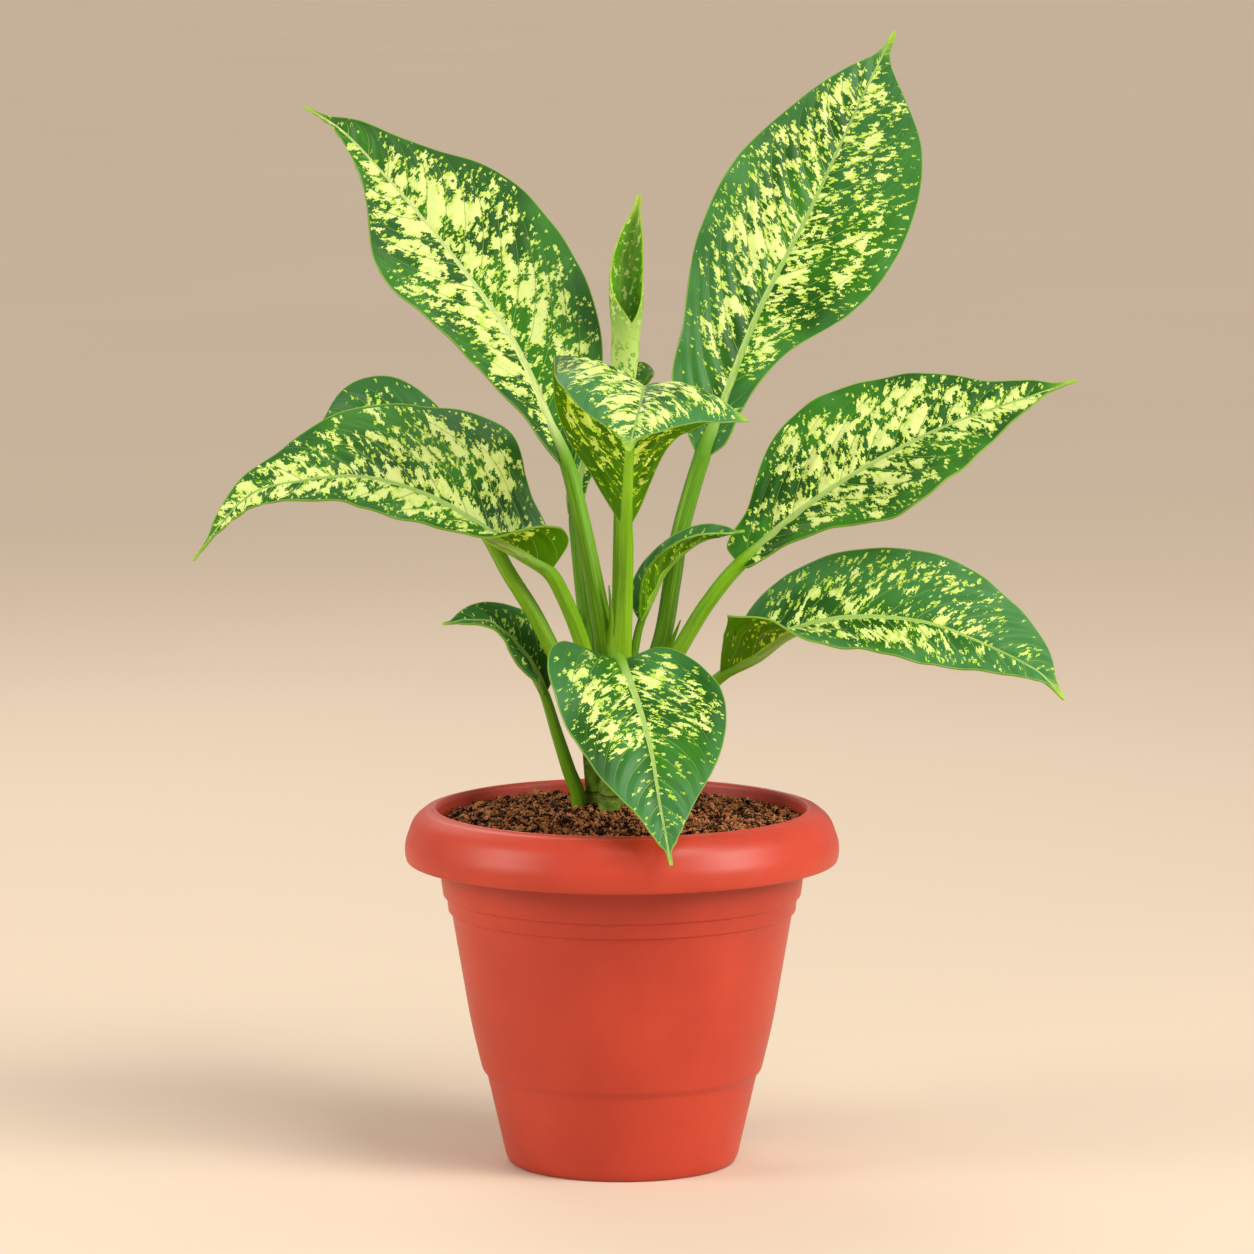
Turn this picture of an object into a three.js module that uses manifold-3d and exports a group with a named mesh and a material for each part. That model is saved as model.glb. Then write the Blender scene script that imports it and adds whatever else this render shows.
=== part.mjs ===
// A spotted evergreen with twelve leaves in a round plastic pot.
// Millimetres, +Z up. The pot stands on Z = 0 with its axis on Z, and the front of the plant faces -Y.
import * as THREE from "three";
import { mergeVertices } from "three/addons/utils/BufferGeometryUtils.js";
import Module from "manifold-3d";

const wasm = await Module();
wasm.setup();

// ---- driving dimensions ----
const POT_TURNS = 44; // flat facets around the pot
const POT_WALL = 2.4;
const FOOT_RADIUS = 52;
const STEP_RADIUS = 62.5; // narrow lower part of the pot, at its top
const STEP_HEIGHT = 41;
const MIDDLE_RADIUS = 69.9; // halfway up the tapered side
const MIDDLE_HEIGHT = 65;
const BAND_RADIUS = 78.9; // where the bulging band under the collar starts
const BAND_HEIGHT = 117;
const NECK_RADIUS = 83.5; // above the band
const NECK_HEIGHT = 131;
const COLLAR_RADIUS = 100;
const COLLAR_BOTTOM = 141;
const COLLAR_SKIN = 2.6;
const RIM_HEIGHT = 165.5;
const MOUTH_RADIUS = 85;
const DRAIN_HOLES = 6;
const DRAIN_RADIUS = 4.5;
const DRAIN_CIRCLE = 34; // radius of the circle of drain holes
const DRAIN_SIDES = 16;

const SOIL_TOP = 164; // crest of the mounded soil
const SOIL_EDGE = 160;
const SOIL_RADIUS = 82.6; // at its top edge, just clear of the rim's wall
const SOIL_TURNS = 56;
const SOIL_RINGS = 12;
const CLUMP_HEIGHT = 2.2;

const GAP = 0.3; // clear space between pieces that meet
const STEM_SIDES = 10;
const STEM_STEPS = 8;
const BLADE_THICKNESS = 0.9;
const EDGE_THICKNESS = 0.7;
const RIB_HALF_WIDTH = 2.4;
const ROUND_SHARE = 0.05; // share of a blade's length over which it turns from round to flat
const SHEATH_RADIUS = [1.9, 0.4]; // at the root and at the free point
const SHEATH_STEPS = 3;
const SPEAR_SIDES = 16;
const SPEAR_STEPS = 14;

// Half-widths of a blade are given at these shares of its length, from the base to the tip.
const WIDTH_STATIONS = [0, 0.04, 0.12, 0.25, 0.42, 0.6, 0.78, 0.92, 1];
// Folds and lifts are given at these shares.
const ANGLE_STATIONS = [0, 0.12, 0.3, 0.6, 1];
// A blade's rings stand at these shares of its length: close at the base and the tip, where it changes most.
const RING_STATIONS = [
  0, 0.015, 0.04, 0.08, 0.14, 0.21, 0.3, 0.39, 0.48, 0.57, 0.66, 0.75, 0.83, 0.9, 0.95, 1,
];
// Points across half a blade, as shares of the way from the rib to the margin.
const ACROSS = [0.36, 0.72, 1];

// ---- the plant ----
// A cane is a path from the soil up, with its radius at the bottom and at the top.
const CANES = {
  cane_front: { path: [[-5, 5, 137], [-5, 5, 165], [-3, 5, 190], [-1, 5, 214]], radius: [6.5, 5] },
  cane_back: { path: [[-11, 22, 137], [-12, 21, 165], [-14, 19, 190], [-15, 17, 214]], radius: [5.2, 4.2] },
};

// Each leaf: the path of its petiole, which runs on to the first point of its midrib, the petiole's radius at
// both ends, the way the upper side looks from base to tip, the half-widths at WIDTH_STATIONS, and, in
// degrees from the base to the tip, how far each half is folded up beside the rib and at the margin. A lobe
// is how far a margin reaches back behind the base. A wave is the height, the count and the phase of the
// ripple along each margin. Left and right are as seen on the upper side with the tip ahead.
const LEAVES = {
  upper_left: {
    petiole: [[-5, 8, 200], [-8, 9, 239], [-13, 9, 269], [-19, 11, 298]],
    radius: [5.2, 3.6],
    sheath: [[-7, 7, 236], [-5, 4, 252], [-6, 2, 268]],
    midrib: [
      [-25, 13, 322], [-32, 18, 339], [-51, 32, 379], [-82, 46, 421],
      [-112, 58, 455], [-130, 65, 473], [-148, 72, 484],
    ],
    face: [[0.1, -1, 0.3], [0.2, -1, 0.3], [0, -1, 0.4]],
    left: [3, 7, 11, 21, 29.5, 34, 11, 2, 0.7],
    right: [3, 9, 26, 39, 47, 42, 20, 6, 0.7],
    fold: [[25, 20, 15, 15, 10], [20, 16, 12, 12, 10]],
    lift: [[30, 20, 10, 10, 10], [20, 10, 0, 0, 10]],
    lobe: [0, 0],
    wave: [1.5, 3, 0.1],
  },
  upper_right: {
    petiole: [[0, 8, 196], [17, 12, 237], [23, 14, 268], [27, 16, 292]],
    radius: [4.4, 4],
    sheath: [[18, 12, 231], [23, 10, 241], [27, 9, 251]],
    midrib: [[37, 20, 326], [45, 24, 346], [63, 36, 391], [88, 50, 439], [111, 62, 488], [127, 72, 519]],
    face: [[0, -1, 0.2], [0.1, -1, 0.3], [0.1, -1, 0.3]],
    left: [3, 12, 26, 31, 41.5, 42, 26, 8, 0.7],
    right: [3, 9, 10, 18, 40, 46, 36.5, 10, 0.7],
    fold: [[20, 16, 12, 12, 10], [25, 18, 12, 12, 10]],
    lift: [[20, 12, 5, 5, 10], [30, 18, 5, 5, 10]],
    lobe: [0, 0],
    wave: [1.5, 3, 0.6],
  },
  right: {
    petiole: [[0, 5, 190], [13, 4, 214], [29, 2, 243], [40, 0, 261]],
    radius: [4, 3.4],
    midrib: [[54, 0, 278], [81, 0, 302], [110, 0, 322], [149, 2, 342], [190, 4, 356], [208, 6, 362]],
    face: [[-0.3, -0.8, 0.6], [-0.2, -0.8, 0.7], [-0.1, -0.8, 0.8]],
    left: [3, 11, 17, 36, 42, 33, 15, 7, 0.7],
    right: [3, 7, 11, 22, 36, 33, 15.5, 2.5, 0.7],
    fold: [[30, 21, 12, 12, 10], [25, 18, 12, 12, 10]],
    lift: [[30, 20, 10, 10, 10], [20, 15, 10, 10, 10]],
    lobe: [6, 4],
    wave: [1.6, 3, 0.2],
  },
  lower_right: {
    petiole: [[0, 5, 180], [14, 3, 195], [31, -2, 213]],
    radius: [3.4, 2.8],
    midrib: [
      [47, -6, 228], [61, -9, 237], [77, -13, 249], [104, -19, 256],
      [136, -26, 255], [161, -31, 247], [188, -36, 234], [201, -40, 221],
    ],
    face: [[-0.5, -0.2, 0.9], [-0.1, -0.7, 0.8], [0.2, -0.9, 0.6], [0.3, -0.8, 0.6], [0.4, -0.8, 0.6]],
    left: [3, 10, 18, 27, 33, 32, 24, 9.5, 0.7],
    right: [3, 20, 27, 24, 23, 24, 16, 5.5, 0.7],
    fold: [[30, 25, 15, 10, 10], [60, 70, 25, 10, 10]],
    lift: [[40, 30, 20, 12, 10], [85, 100, 40, 12, 10]],
    lobe: [4, -8],
    wave: [1.4, 3, 0.4],
  },
  center: {
    petiole: [[-2, 4, 196], [0, -4, 236], [2, -12, 282]],
    radius: [5.3, 2.8],
    midrib: [[2, -16, 299], [3, -20, 319], [5, -30, 345], [10, -52, 365], [8, -90, 360], [3, -118, 342]],
    face: [[0, 1, 0.2], [0.25, 0.8, 0.6], [0.35, 0, 1], [0.2, -0.7, 0.7]],
    left: [3, 6, 10, 17, 33, 48.5, 28, 9, 0.7],
    right: [3, 8, 17.5, 32, 42, 43, 38, 19, 0.7],
    fold: [[30, 20, 15, 36, 30], [30, 20, 8, 16, 10]],
    lift: [[20, 10, 0, -40, -10], [20, 15, 5, -18, -10]],
    lobe: [0, 0],
    wave: [1, 3, 0.4],
  },
  left: {
    petiole: [[-6, 6, 194], [-13, 0, 222], [-20, -6, 247], [-28, -12, 267]],
    radius: [4, 3.4],
    midrib: [
      [-34, -17, 277], [-46, -22, 287], [-58, -27, 295], [-86, -36, 313],
      [-116, -44, 323], [-145, -52, 322], [-169, -56, 315], [-193, -60, 287],
    ],
    face: [[0.5, -0.2, 0.8], [0.1, -0.7, 0.8], [0, -0.7, 0.7], [-0.2, -0.7, 0.6], [-0.4, -0.7, 0.5]],
    left: [3, 19, 23.5, 18.5, 20.5, 18, 8.5, 2, 0.7],
    right: [3, 13, 25, 48, 42.5, 28, 10, 3, 0.7],
    fold: [[80, 60, 12, 10, 10], [30, 30, 15, 10, 10]],
    lift: [[115, 80, 12, 10, 10], [50, 40, 15, 12, 10]],
    lobe: [4, 8],
    wave: [1.6, 3, 0.3],
  },
  left_back: {
    petiole: [[-7, 6, 184], [-20, 2, 214], [-32, -4, 239], [-41, -6, 257], [-52, -8, 275]],
    radius: [4, 3.4],
    midrib: [[-63, -10, 295], [-79, 0, 312], [-102, 12, 329], [-125, 24, 340], [-144, 34, 336]],
    face: [[0.3, -0.5, 0.8], [0, -0.5, 0.8], [-0.4, -0.5, 0.6]],
    left: [3, 8, 14, 20, 22, 20, 14, 6, 0.7],
    right: [3, 12, 16, 27, 27, 31, 28.5, 12, 0.7],
    fold: [[20, 16, 12, 12, 10], [20, 16, 12, 12, 10]],
    lift: [[20, 15, 10, 10, 10], [20, 18, 15, 15, 10]],
    lobe: [2, 2],
    wave: [1.2, 2, 0.2],
  },
  small_left: {
    petiole: [[-20, 16, 137], [-20, 16, 165], [-25, 15, 181], [-30, 13, 197]],
    radius: [4.2, 2.3],
    midrib: [[-36, 10, 217], [-42, 4, 232], [-54, 0, 247], [-65, -4, 253], [-82, -10, 252]],
    face: [[0.4, -0.6, 0.6], [0, -0.5, 0.8], [-0.3, -0.5, 0.7]],
    left: [2, 6, 8.5, 11.5, 13, 10, 6, 2.5, 0.6],
    right: [2, 5, 9, 15, 17, 13, 8, 3, 0.6],
    fold: [[40, 30, 20, 20, 10], [30, 25, 20, 20, 10]],
    lift: [[60, 40, 20, 20, 10], [30, 25, 20, 20, 10]],
    lobe: [0, 0],
    wave: [0.6, 2, 0.2],
  },
  front: {
    petiole: [[-3, 4, 192], [-2, -6, 212], [-3, -18, 228]],
    radius: [3.6, 3],
    midrib: [[-1, -34, 238], [6, -56, 225], [13, -80, 204], [17, -98, 182], [22, -114, 157]],
    face: [[0.1, -0.3, 1], [0.1, -0.8, 0.7], [0.1, -1, 0.4]],
    left: [3, 20, 31, 38, 37, 28, 14, 4, 0.7],
    right: [3, 27, 38, 38, 35, 27, 12, 4, 0.7],
    fold: [[20, 16, 12, 12, 10], [20, 16, 12, 12, 10]],
    lift: [[10, 5, 0, 0, 10], [10, 5, 0, 0, 10]],
    lobe: [8, 17],
    wave: [1.2, 3, 0.4],
  },
  small_right: {
    petiole: [[0, 7, 200], [6, 9, 238]],
    radius: [2.4, 1.8],
    midrib: [[9, 9, 251], [14, 8, 265], [21, 5, 277], [36, 1, 289], [56, -3, 294]],
    face: [[-0.7, -0.5, 0.4], [-0.5, -0.4, 0.8], [-0.1, -0.3, 1]],
    left: [1.8, 5, 9, 11, 10, 9, 7, 3, 0.6],
    right: [1.8, 5, 9, 13, 13, 11, 7, 3, 0.6],
    fold: [[40, 40, 40, 40, 20], [50, 50, 50, 50, 20]],
    lift: [[40, 40, 40, 40, 20], [70, 65, 60, 60, 20]],
    lobe: [0, 0],
    wave: [0.4, 2, 0.2],
  },
  back: {
    petiole: [[-14, 17, 203], [-15, 24, 239], [-18, 28, 255], [-21, 33, 283]],
    radius: [3.4, 2.8],
    sheath: [[-16, 23, 234], [-19, 23, 244], [-20, 22, 255]],
    midrib: [
      [-22, 36, 297], [-20, 40, 313], [-14, 48, 330], [-4, 62, 350],
      [6, 78, 364], [7, 104, 357], [6, 122, 342],
    ],
    face: [[0, -1, 0.2], [0, -0.8, 0.6], [0, 0, 1], [0, 0.7, 0.7]],
    left: [3, 4, 5, 6, 7, 8, 8, 5, 0.7],
    right: [3, 4, 5, 7, 9, 10, 9, 5, 0.7],
    fold: [[20, 16, 12, 6, 10], [20, 10, 0, -6, 0]],
    lift: [[20, 15, 0, -30, -10], [20, 0, -30, -60, -30]],
    lobe: [0, 0],
    wave: [1, 2, 0.2],
  },
};

// The youngest leaf, still rolled into a spear on a thin stem.
const SPEAR = {
  petiole: [[-2, 7, 206], [-2, 17, 250], [-1, 20, 300]],
  radius: [2.8, 3],
  axis: [[0, 22, 351], [2, 22, 384], [2, 22, 407], [4, 22, 425], [8, 22, 446]],
  girth: [4.4, 5.8, 6.6, 7.4, 7, 4.4, 0.7], // radius from the bottom to the tip
  lap: 0.28, // share of the radius that the outer edge stands proud of the layer below
  turns: 0.7, // how far the outer edge winds round on the way up
};

// ---- materials ----
function finish(color, roughness) {
  return new THREE.MeshStandardMaterial({ color, roughness, metalness: 0 });
}

const POT_FINISH = finish(0xc8462d, 0.45);
const SOIL_FINISH = finish(0x4a2e1c, 1);
const CANE_FINISH = finish(0x5d7a24, 0.5);
const PETIOLE_FINISH = finish(0x6aa02a, 0.45);
const BLADE_FINISH = finish(0x3f8038, 0.4);
const SPEAR_FINISH = finish(0x9cc05a, 0.45);

// ---- solids ----
function toSolid(geometry) {
  const bare = geometry.clone();
  bare.deleteAttribute("normal");
  bare.deleteAttribute("uv");
  const merged = mergeVertices(bare, 1e-4);
  const vertProperties = merged.attributes.position.array;
  const triVerts = new Uint32Array(merged.index.array);
  return new wasm.Manifold(new wasm.Mesh({ numProp: 3, vertProperties, triVerts }));
}

function fromSolid(solid) {
  const mesh = solid.getMesh();
  const geometry = new THREE.BufferGeometry();
  geometry.setAttribute("position", new THREE.BufferAttribute(new Float32Array(mesh.vertProperties), 3));
  geometry.setIndex(new THREE.BufferAttribute(new Uint32Array(mesh.triVerts), 1));
  return geometry;
}

// The largest body of a solid: a cut can leave a sliver on the far side of a neighbour.
function mainBody(solid) {
  return solid.decompose().reduce((best, body) => (body.volume() > best.volume() ? body : best));
}

// A closed skin through rings of equal length, with a flat fan at each end.
function loft(rings) {
  const count = rings[0].length;
  const points = rings.flat();
  const faces = [];
  for (let i = 0; i + 1 < rings.length; i++) {
    for (let j = 0; j < count; j++) {
      const a = i * count + j;
      const b = i * count + ((j + 1) % count);
      // Both faces of a blade are split along the same line, so that its thickness stays even.
      if (j < count / 2) {
        faces.push(a, b, b + count, a, b + count, a + count);
      } else {
        faces.push(a, b, a + count, b, b + count, a + count);
      }
    }
  }
  closeEnd(points, faces, 0, count, true);
  closeEnd(points, faces, (rings.length - 1) * count, count, false);
  const geometry = new THREE.BufferGeometry().setFromPoints(points);
  geometry.setIndex(faces);
  return geometry;
}

function closeEnd(points, faces, first, count, reversed) {
  const middle = new THREE.Vector3();
  for (let j = 0; j < count; j++) middle.addScaledVector(points[first + j], 1 / count);
  points.push(middle);
  const hub = points.length - 1;
  for (let j = 0; j < count; j++) {
    const a = first + j;
    const b = first + ((j + 1) % count);
    if (reversed) faces.push(hub, b, a);
    else faces.push(hub, a, b);
  }
}

function curveThrough(points) {
  const places = points.map((p) => new THREE.Vector3(...p));
  return new THREE.CatmullRomCurve3(places, false, "catmullrom", 0.5);
}

// A smooth value at x through the values given at the stations.
function valueAt(stations, values, x) {
  const last = stations.length - 1;
  let i = 0;
  while (i < last - 1 && x > stations[i + 1]) i++;
  const slope = (k) => {
    const a = Math.max(k - 1, 0);
    const b = Math.min(k + 1, last);
    return (values[b] - values[a]) / (stations[b] - stations[a]);
  };
  const span = stations[i + 1] - stations[i];
  const w = (x - stations[i]) / span;
  const w2 = w * w;
  const w3 = w2 * w;
  const start = values[i] * (2 * w3 - 3 * w2 + 1) + slope(i) * span * (w3 - 2 * w2 + w);
  const end = values[i + 1] * (3 * w2 - 2 * w3) + slope(i + 1) * span * (w3 - w2);
  return start + end;
}

// The same, with the values spread evenly from 0 to 1.
function evenly(values, x) {
  const stations = values.map((_, i) => i / (values.length - 1));
  return valueAt(stations, values, x);
}

// ---- pot ----
function potOutline() {
  const inner = (r) => r - POT_WALL;
  const outside = [
    [FOOT_RADIUS, 0],
    [FOOT_RADIUS + 1.4, 1.2],
    [FOOT_RADIUS + 2.2, 5],
    [57.9, 22],
    [STEP_RADIUS, STEP_HEIGHT],
    [STEP_RADIUS + 2.4, STEP_HEIGHT + 3.2],
    [MIDDLE_RADIUS, MIDDLE_HEIGHT],
    [75.2, 93],
    [BAND_RADIUS, BAND_HEIGHT],
    [BAND_RADIUS + 0.7, BAND_HEIGHT + 1],
    [BAND_RADIUS + 2.3, BAND_HEIGHT + 7],
    [BAND_RADIUS + 3.1, BAND_HEIGHT + 9],
    [NECK_RADIUS, NECK_HEIGHT],
    [NECK_RADIUS + 0.8, COLLAR_BOTTOM + 12],
  ];
  const skirtInside = [
    [88.5, 159.5],
    [94, 156],
    [COLLAR_RADIUS - COLLAR_SKIN - 0.6, 149],
    [COLLAR_RADIUS - COLLAR_SKIN - 0.6, COLLAR_BOTTOM],
  ];
  const collar = [
    [COLLAR_RADIUS - 0.8, COLLAR_BOTTOM],
    [COLLAR_RADIUS, COLLAR_BOTTOM + 1.4],
    [COLLAR_RADIUS, 148],
    [98.8, 154],
    [96, 160],
    [93.4, 163],
    [90.2, 164.8],
    [87.8, 164.8],
    [87.2, RIM_HEIGHT],
    [86, RIM_HEIGHT],
    [MOUTH_RADIUS, 164.3],
    [MOUTH_RADIUS - 1.4, 162],
  ];
  const inside = [
    [inner(NECK_RADIUS), NECK_HEIGHT],
    [inner(BAND_RADIUS), BAND_HEIGHT],
    [inner(MIDDLE_RADIUS), MIDDLE_HEIGHT],
    [inner(STEP_RADIUS + 2.4), STEP_HEIGHT + 4],
    [inner(STEP_RADIUS), STEP_HEIGHT],
    [inner(FOOT_RADIUS + 2.2), POT_WALL + 3],
    [inner(FOOT_RADIUS) - 2, POT_WALL],
    [0, POT_WALL],
  ];
  return [[0, 0], ...outside, ...skirtInside, ...collar, ...inside];
}

function lathe(outline, turns) {
  const profile = outline.map(([r, z]) => new THREE.Vector2(r, z));
  return new THREE.LatheGeometry(profile, turns).rotateX(Math.PI / 2);
}

function potGeometry() {
  let pot = toSolid(lathe(potOutline(), POT_TURNS));
  for (let i = 0; i < DRAIN_HOLES; i++) {
    const angle = ((i + 0.5) / DRAIN_HOLES) * 2 * Math.PI;
    const hole = new THREE.CylinderGeometry(DRAIN_RADIUS, DRAIN_RADIUS, 4 * POT_WALL, DRAIN_SIDES);
    hole.rotateX(Math.PI / 2);
    hole.translate(DRAIN_CIRCLE * Math.cos(angle), DRAIN_CIRCLE * Math.sin(angle), 0);
    pot = pot.subtract(toSolid(hole));
  }
  return fromSolid(pot);
}

// ---- soil ----
// Loose clumps with hollows between them, a sum of waves: mounds about 29 mm apart and smaller ones on top.
function clumps(x, y) {
  const broad = Math.sin(x / 4.6 + 1.3) * Math.cos(y / 4.6 - 0.4) + 0.5 * Math.sin((x + y) / 9);
  const small = Math.sin(x / 2.4 - y / 3.1) * Math.cos(y / 2.2 + x / 4.3);
  return CLUMP_HEIGHT * (0.45 * broad + 0.3 * small);
}

function soilGeometry(stems) {
  const within = (r) => r - POT_WALL - 3 * GAP; // clear of the flat facets of the pot's wall
  const outline = [
    [0, POT_WALL + GAP],
    [within(FOOT_RADIUS) - 2, POT_WALL + GAP],
    [within(FOOT_RADIUS + 2.2), POT_WALL + 4],
    [within(STEP_RADIUS), STEP_HEIGHT],
    [within(STEP_RADIUS + 2.4), STEP_HEIGHT + 4.4],
    [within(MIDDLE_RADIUS), MIDDLE_HEIGHT],
    [within(BAND_RADIUS), BAND_HEIGHT],
    [within(NECK_RADIUS), NECK_HEIGHT + 0.5],
    [SOIL_RADIUS, SOIL_EDGE - 1],
  ];
  for (let i = 0; i <= SOIL_RINGS; i++) {
    const share = 1 - i / SOIL_RINGS;
    const height = SOIL_EDGE + (SOIL_TOP - SOIL_EDGE) * Math.cos((share * Math.PI) / 2);
    outline.push([(SOIL_RADIUS - 0.4) * share, height]);
  }
  const geometry = lathe(outline, SOIL_TURNS);
  const place = geometry.attributes.position;
  for (let i = 0; i < place.count; i++) {
    const [x, y, z] = [place.getX(i), place.getY(i), place.getZ(i)];
    const inward = 1 - Math.hypot(x, y) / SOIL_RADIUS;
    if (z > SOIL_EDGE - 0.5) place.setZ(i, z + clumps(x, y) * Math.min(1, 6 * inward));
  }
  return fromSolid(stems.reduce((soil, stem) => soil.subtract(stem), toSolid(geometry)));
}

// ---- stems ----
// Rings round a path between two shares of its length.
function stemRings(curve, from, to, radii, grow, steps = STEM_STEPS) {
  const rings = [];
  for (let i = 0; i <= steps; i++) {
    const share = i / steps;
    const u = from + (to - from) * share;
    const middle = curve.getPointAt(u);
    const along = curve.getTangentAt(u);
    const side = new THREE.Vector3(0, 1, 0).cross(along).normalize();
    const front = along.clone().cross(side);
    const radius = evenly(radii, share) + grow;
    const ring = [];
    for (let j = 0; j < STEM_SIDES; j++) {
      const angle = (j / STEM_SIDES) * 2 * Math.PI;
      const spoke = side.clone().multiplyScalar(radius * Math.cos(angle));
      ring.push(middle.clone().add(spoke.addScaledVector(front, radius * Math.sin(angle))));
    }
    rings.push(ring);
  }
  return rings;
}

function caneSolid(cane, grow) {
  return toSolid(loft(stemRings(curveThrough(cane.path), 0, 1, cane.radius, grow)));
}

// The whole path of a leaf, petiole and midrib in one smooth curve, and the share of it where the blade
// starts.
function leafPath(leaf) {
  const points = [...leaf.petiole, ...(leaf.midrib || leaf.axis)];
  const curve = curveThrough(points);
  const steps = 40;
  const lengths = curve.getLengths(steps * (points.length - 1));
  const split = lengths[steps * leaf.petiole.length] / lengths[lengths.length - 1];
  return { curve, split, length: lengths[lengths.length - 1] };
}

// A petiole, with the free pointed tip of its sheath where the leaf has one.
function petioleSolid(leaf, grow) {
  const { curve, split, length } = leafPath(leaf);
  const stop = split - (GAP - grow) / length;
  const stalk = toSolid(loft(stemRings(curve, 0, stop, leaf.radius, grow)));
  if (!leaf.sheath) return stalk;
  const point = stemRings(curveThrough(leaf.sheath), 0, 1, SHEATH_RADIUS, grow, SHEATH_STEPS);
  return stalk.add(toSolid(loft(point)));
}

// ---- blades ----
function bladeFrame(leaf, path, s) {
  const u = path.split + (1 - path.split) * s;
  const middle = path.curve.getPointAt(u);
  const along = path.curve.getTangentAt(u);
  const look = new THREE.Vector3(...[0, 1, 2].map((k) => evenly(leaf.face.map((f) => f[k]), s)));
  const up = look.addScaledVector(along, -look.dot(along)).normalize();
  return { middle, along, up, right: along.clone().cross(up) };
}

// A point of one half of the blade's upper side and the way that side looks there. The half bends evenly from
// the fold beside the rib to the lift at the margin, so its width stays the same however it is curled.
function halfPoint(leaf, frame, s, half, share) {
  const width = Math.max(valueAt(WIDTH_STATIONS, half ? leaf.right : leaf.left, s), 0.6);
  const fold = THREE.MathUtils.degToRad(valueAt(ANGLE_STATIONS, leaf.fold[half], s));
  const lift = THREE.MathUtils.degToRad(valueAt(ANGLE_STATIONS, leaf.lift[half], s));
  const bend = Math.abs(lift - fold) < 1e-4 ? 1e-4 : lift - fold;
  const angle = fold + bend * share;
  const out = (Math.sin(angle) - Math.sin(fold)) / bend;
  const rise = (Math.cos(fold) - Math.cos(angle)) / bend;
  const side = frame.right.clone().multiplyScalar(half ? 1 : -1);
  const normal = side.clone().multiplyScalar(-Math.sin(angle)).addScaledVector(frame.up, Math.cos(angle));
  const back = leaf.lobe[half] * share * share * Math.max(0, 1 - s / 0.3) ** 2 * Math.min(1, s / 0.03);
  const [height, count, phase] = leaf.wave;
  const ripple = height * share * share * Math.sin(2 * Math.PI * (count * s + phase + 0.37 * half));
  const point = frame.middle.clone();
  point.addScaledVector(side, width * out).addScaledVector(frame.up, width * rise);
  point.addScaledVector(frame.along, -back);
  point.addScaledVector(normal, ripple * Math.sin(Math.PI * s));
  return { point, normal, width };
}

// One ring: the upper side from the left margin to the right, then the underside back again. At the base the
// ring is as round as the petiole, and further on it is a thin blade with a rib below.
function bladeRing(leaf, path, s) {
  const frame = bladeFrame(leaf, path, s);
  const round = Math.max(0, 1 - s / ROUND_SHARE);
  const stem = leaf.radius[leaf.radius.length - 1];
  const upper = [];
  const lower = [];
  const place = (half, share, isRib) => {
    const { point, normal } = halfPoint(leaf, frame, s, half, share);
    const rib = isRib ? (stem * 1.1 - 0.6) * (1 - s) ** 1.3 + 0.5 : 0;
    const thickness = THREE.MathUtils.lerp(BLADE_THICKNESS, EDGE_THICKNESS, share) + rib;
    const beside = frame.middle.clone().addScaledVector(frame.right, stem * share * (half ? 1 : -1));
    const dome = Math.max(stem * Math.sqrt(1 - share * share), EDGE_THICKNESS / 2);
    const above = beside.clone().addScaledVector(frame.up, dome);
    const below = beside.clone().addScaledVector(frame.up, -dome);
    upper.push(point.clone().lerp(above, round));
    lower.unshift(point.clone().addScaledVector(normal, -thickness).lerp(below, round));
  };
  const shares = (half) => {
    const width = valueAt(WIDTH_STATIONS, half ? leaf.right : leaf.left, s);
    const rib = Math.min(0.22, RIB_HALF_WIDTH / Math.max(width, 1));
    return [rib, ...ACROSS];
  };
  [...shares(0)].reverse().forEach((share) => place(0, share, false));
  place(0, 0, true);
  shares(1).forEach((share) => place(1, share, false));
  return [...upper, ...lower];
}

function bladeGeometry(leaf) {
  const path = leafPath(leaf);
  return loft(RING_STATIONS.map((s) => bladeRing(leaf, path, s)));
}

// The rolled leaf: each ring is a snail shell with one step, and the step winds up round the spear.
function spearGeometry() {
  const { curve, split } = leafPath(SPEAR);
  const rings = [];
  for (let i = 0; i <= SPEAR_STEPS; i++) {
    const s = i / SPEAR_STEPS;
    const u = split + (1 - split) * s;
    const middle = curve.getPointAt(u);
    const along = curve.getTangentAt(u);
    const side = new THREE.Vector3(0, 1, 0).cross(along).normalize();
    const front = along.clone().cross(side);
    const ring = [];
    for (let j = 0; j < SPEAR_SIDES; j++) {
      const turn = j / (SPEAR_SIDES - 1);
      const angle = 2 * Math.PI * (turn * 0.985 + SPEAR.turns * s);
      const lap = SPEAR.lap * Math.sin((Math.PI * Math.min(1, s * 3)) / 2);
      const radius = evenly(SPEAR.girth, s) * (1 - lap * turn);
      const spoke = side.clone().multiplyScalar(radius * Math.cos(angle));
      ring.push(middle.clone().add(spoke.addScaledVector(front, radius * Math.sin(angle))));
    }
    rings.push(ring);
  }
  return loft(rings);
}

// ---- assembly ----
const plant = new THREE.Group();

function addMesh(name, geometry, material) {
  const mesh = new THREE.Mesh(geometry, material);
  mesh.name = name;
  plant.add(mesh);
}

const grown = []; // every stem so far, one gap fatter, for the next ones to be cut by

function addStem(name, exact, fatter, material) {
  const cut = grown.reduce((stem, other) => stem.subtract(other), exact);
  addMesh(name, fromSolid(mainBody(cut)), material);
  grown.push(fatter);
}

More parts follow.
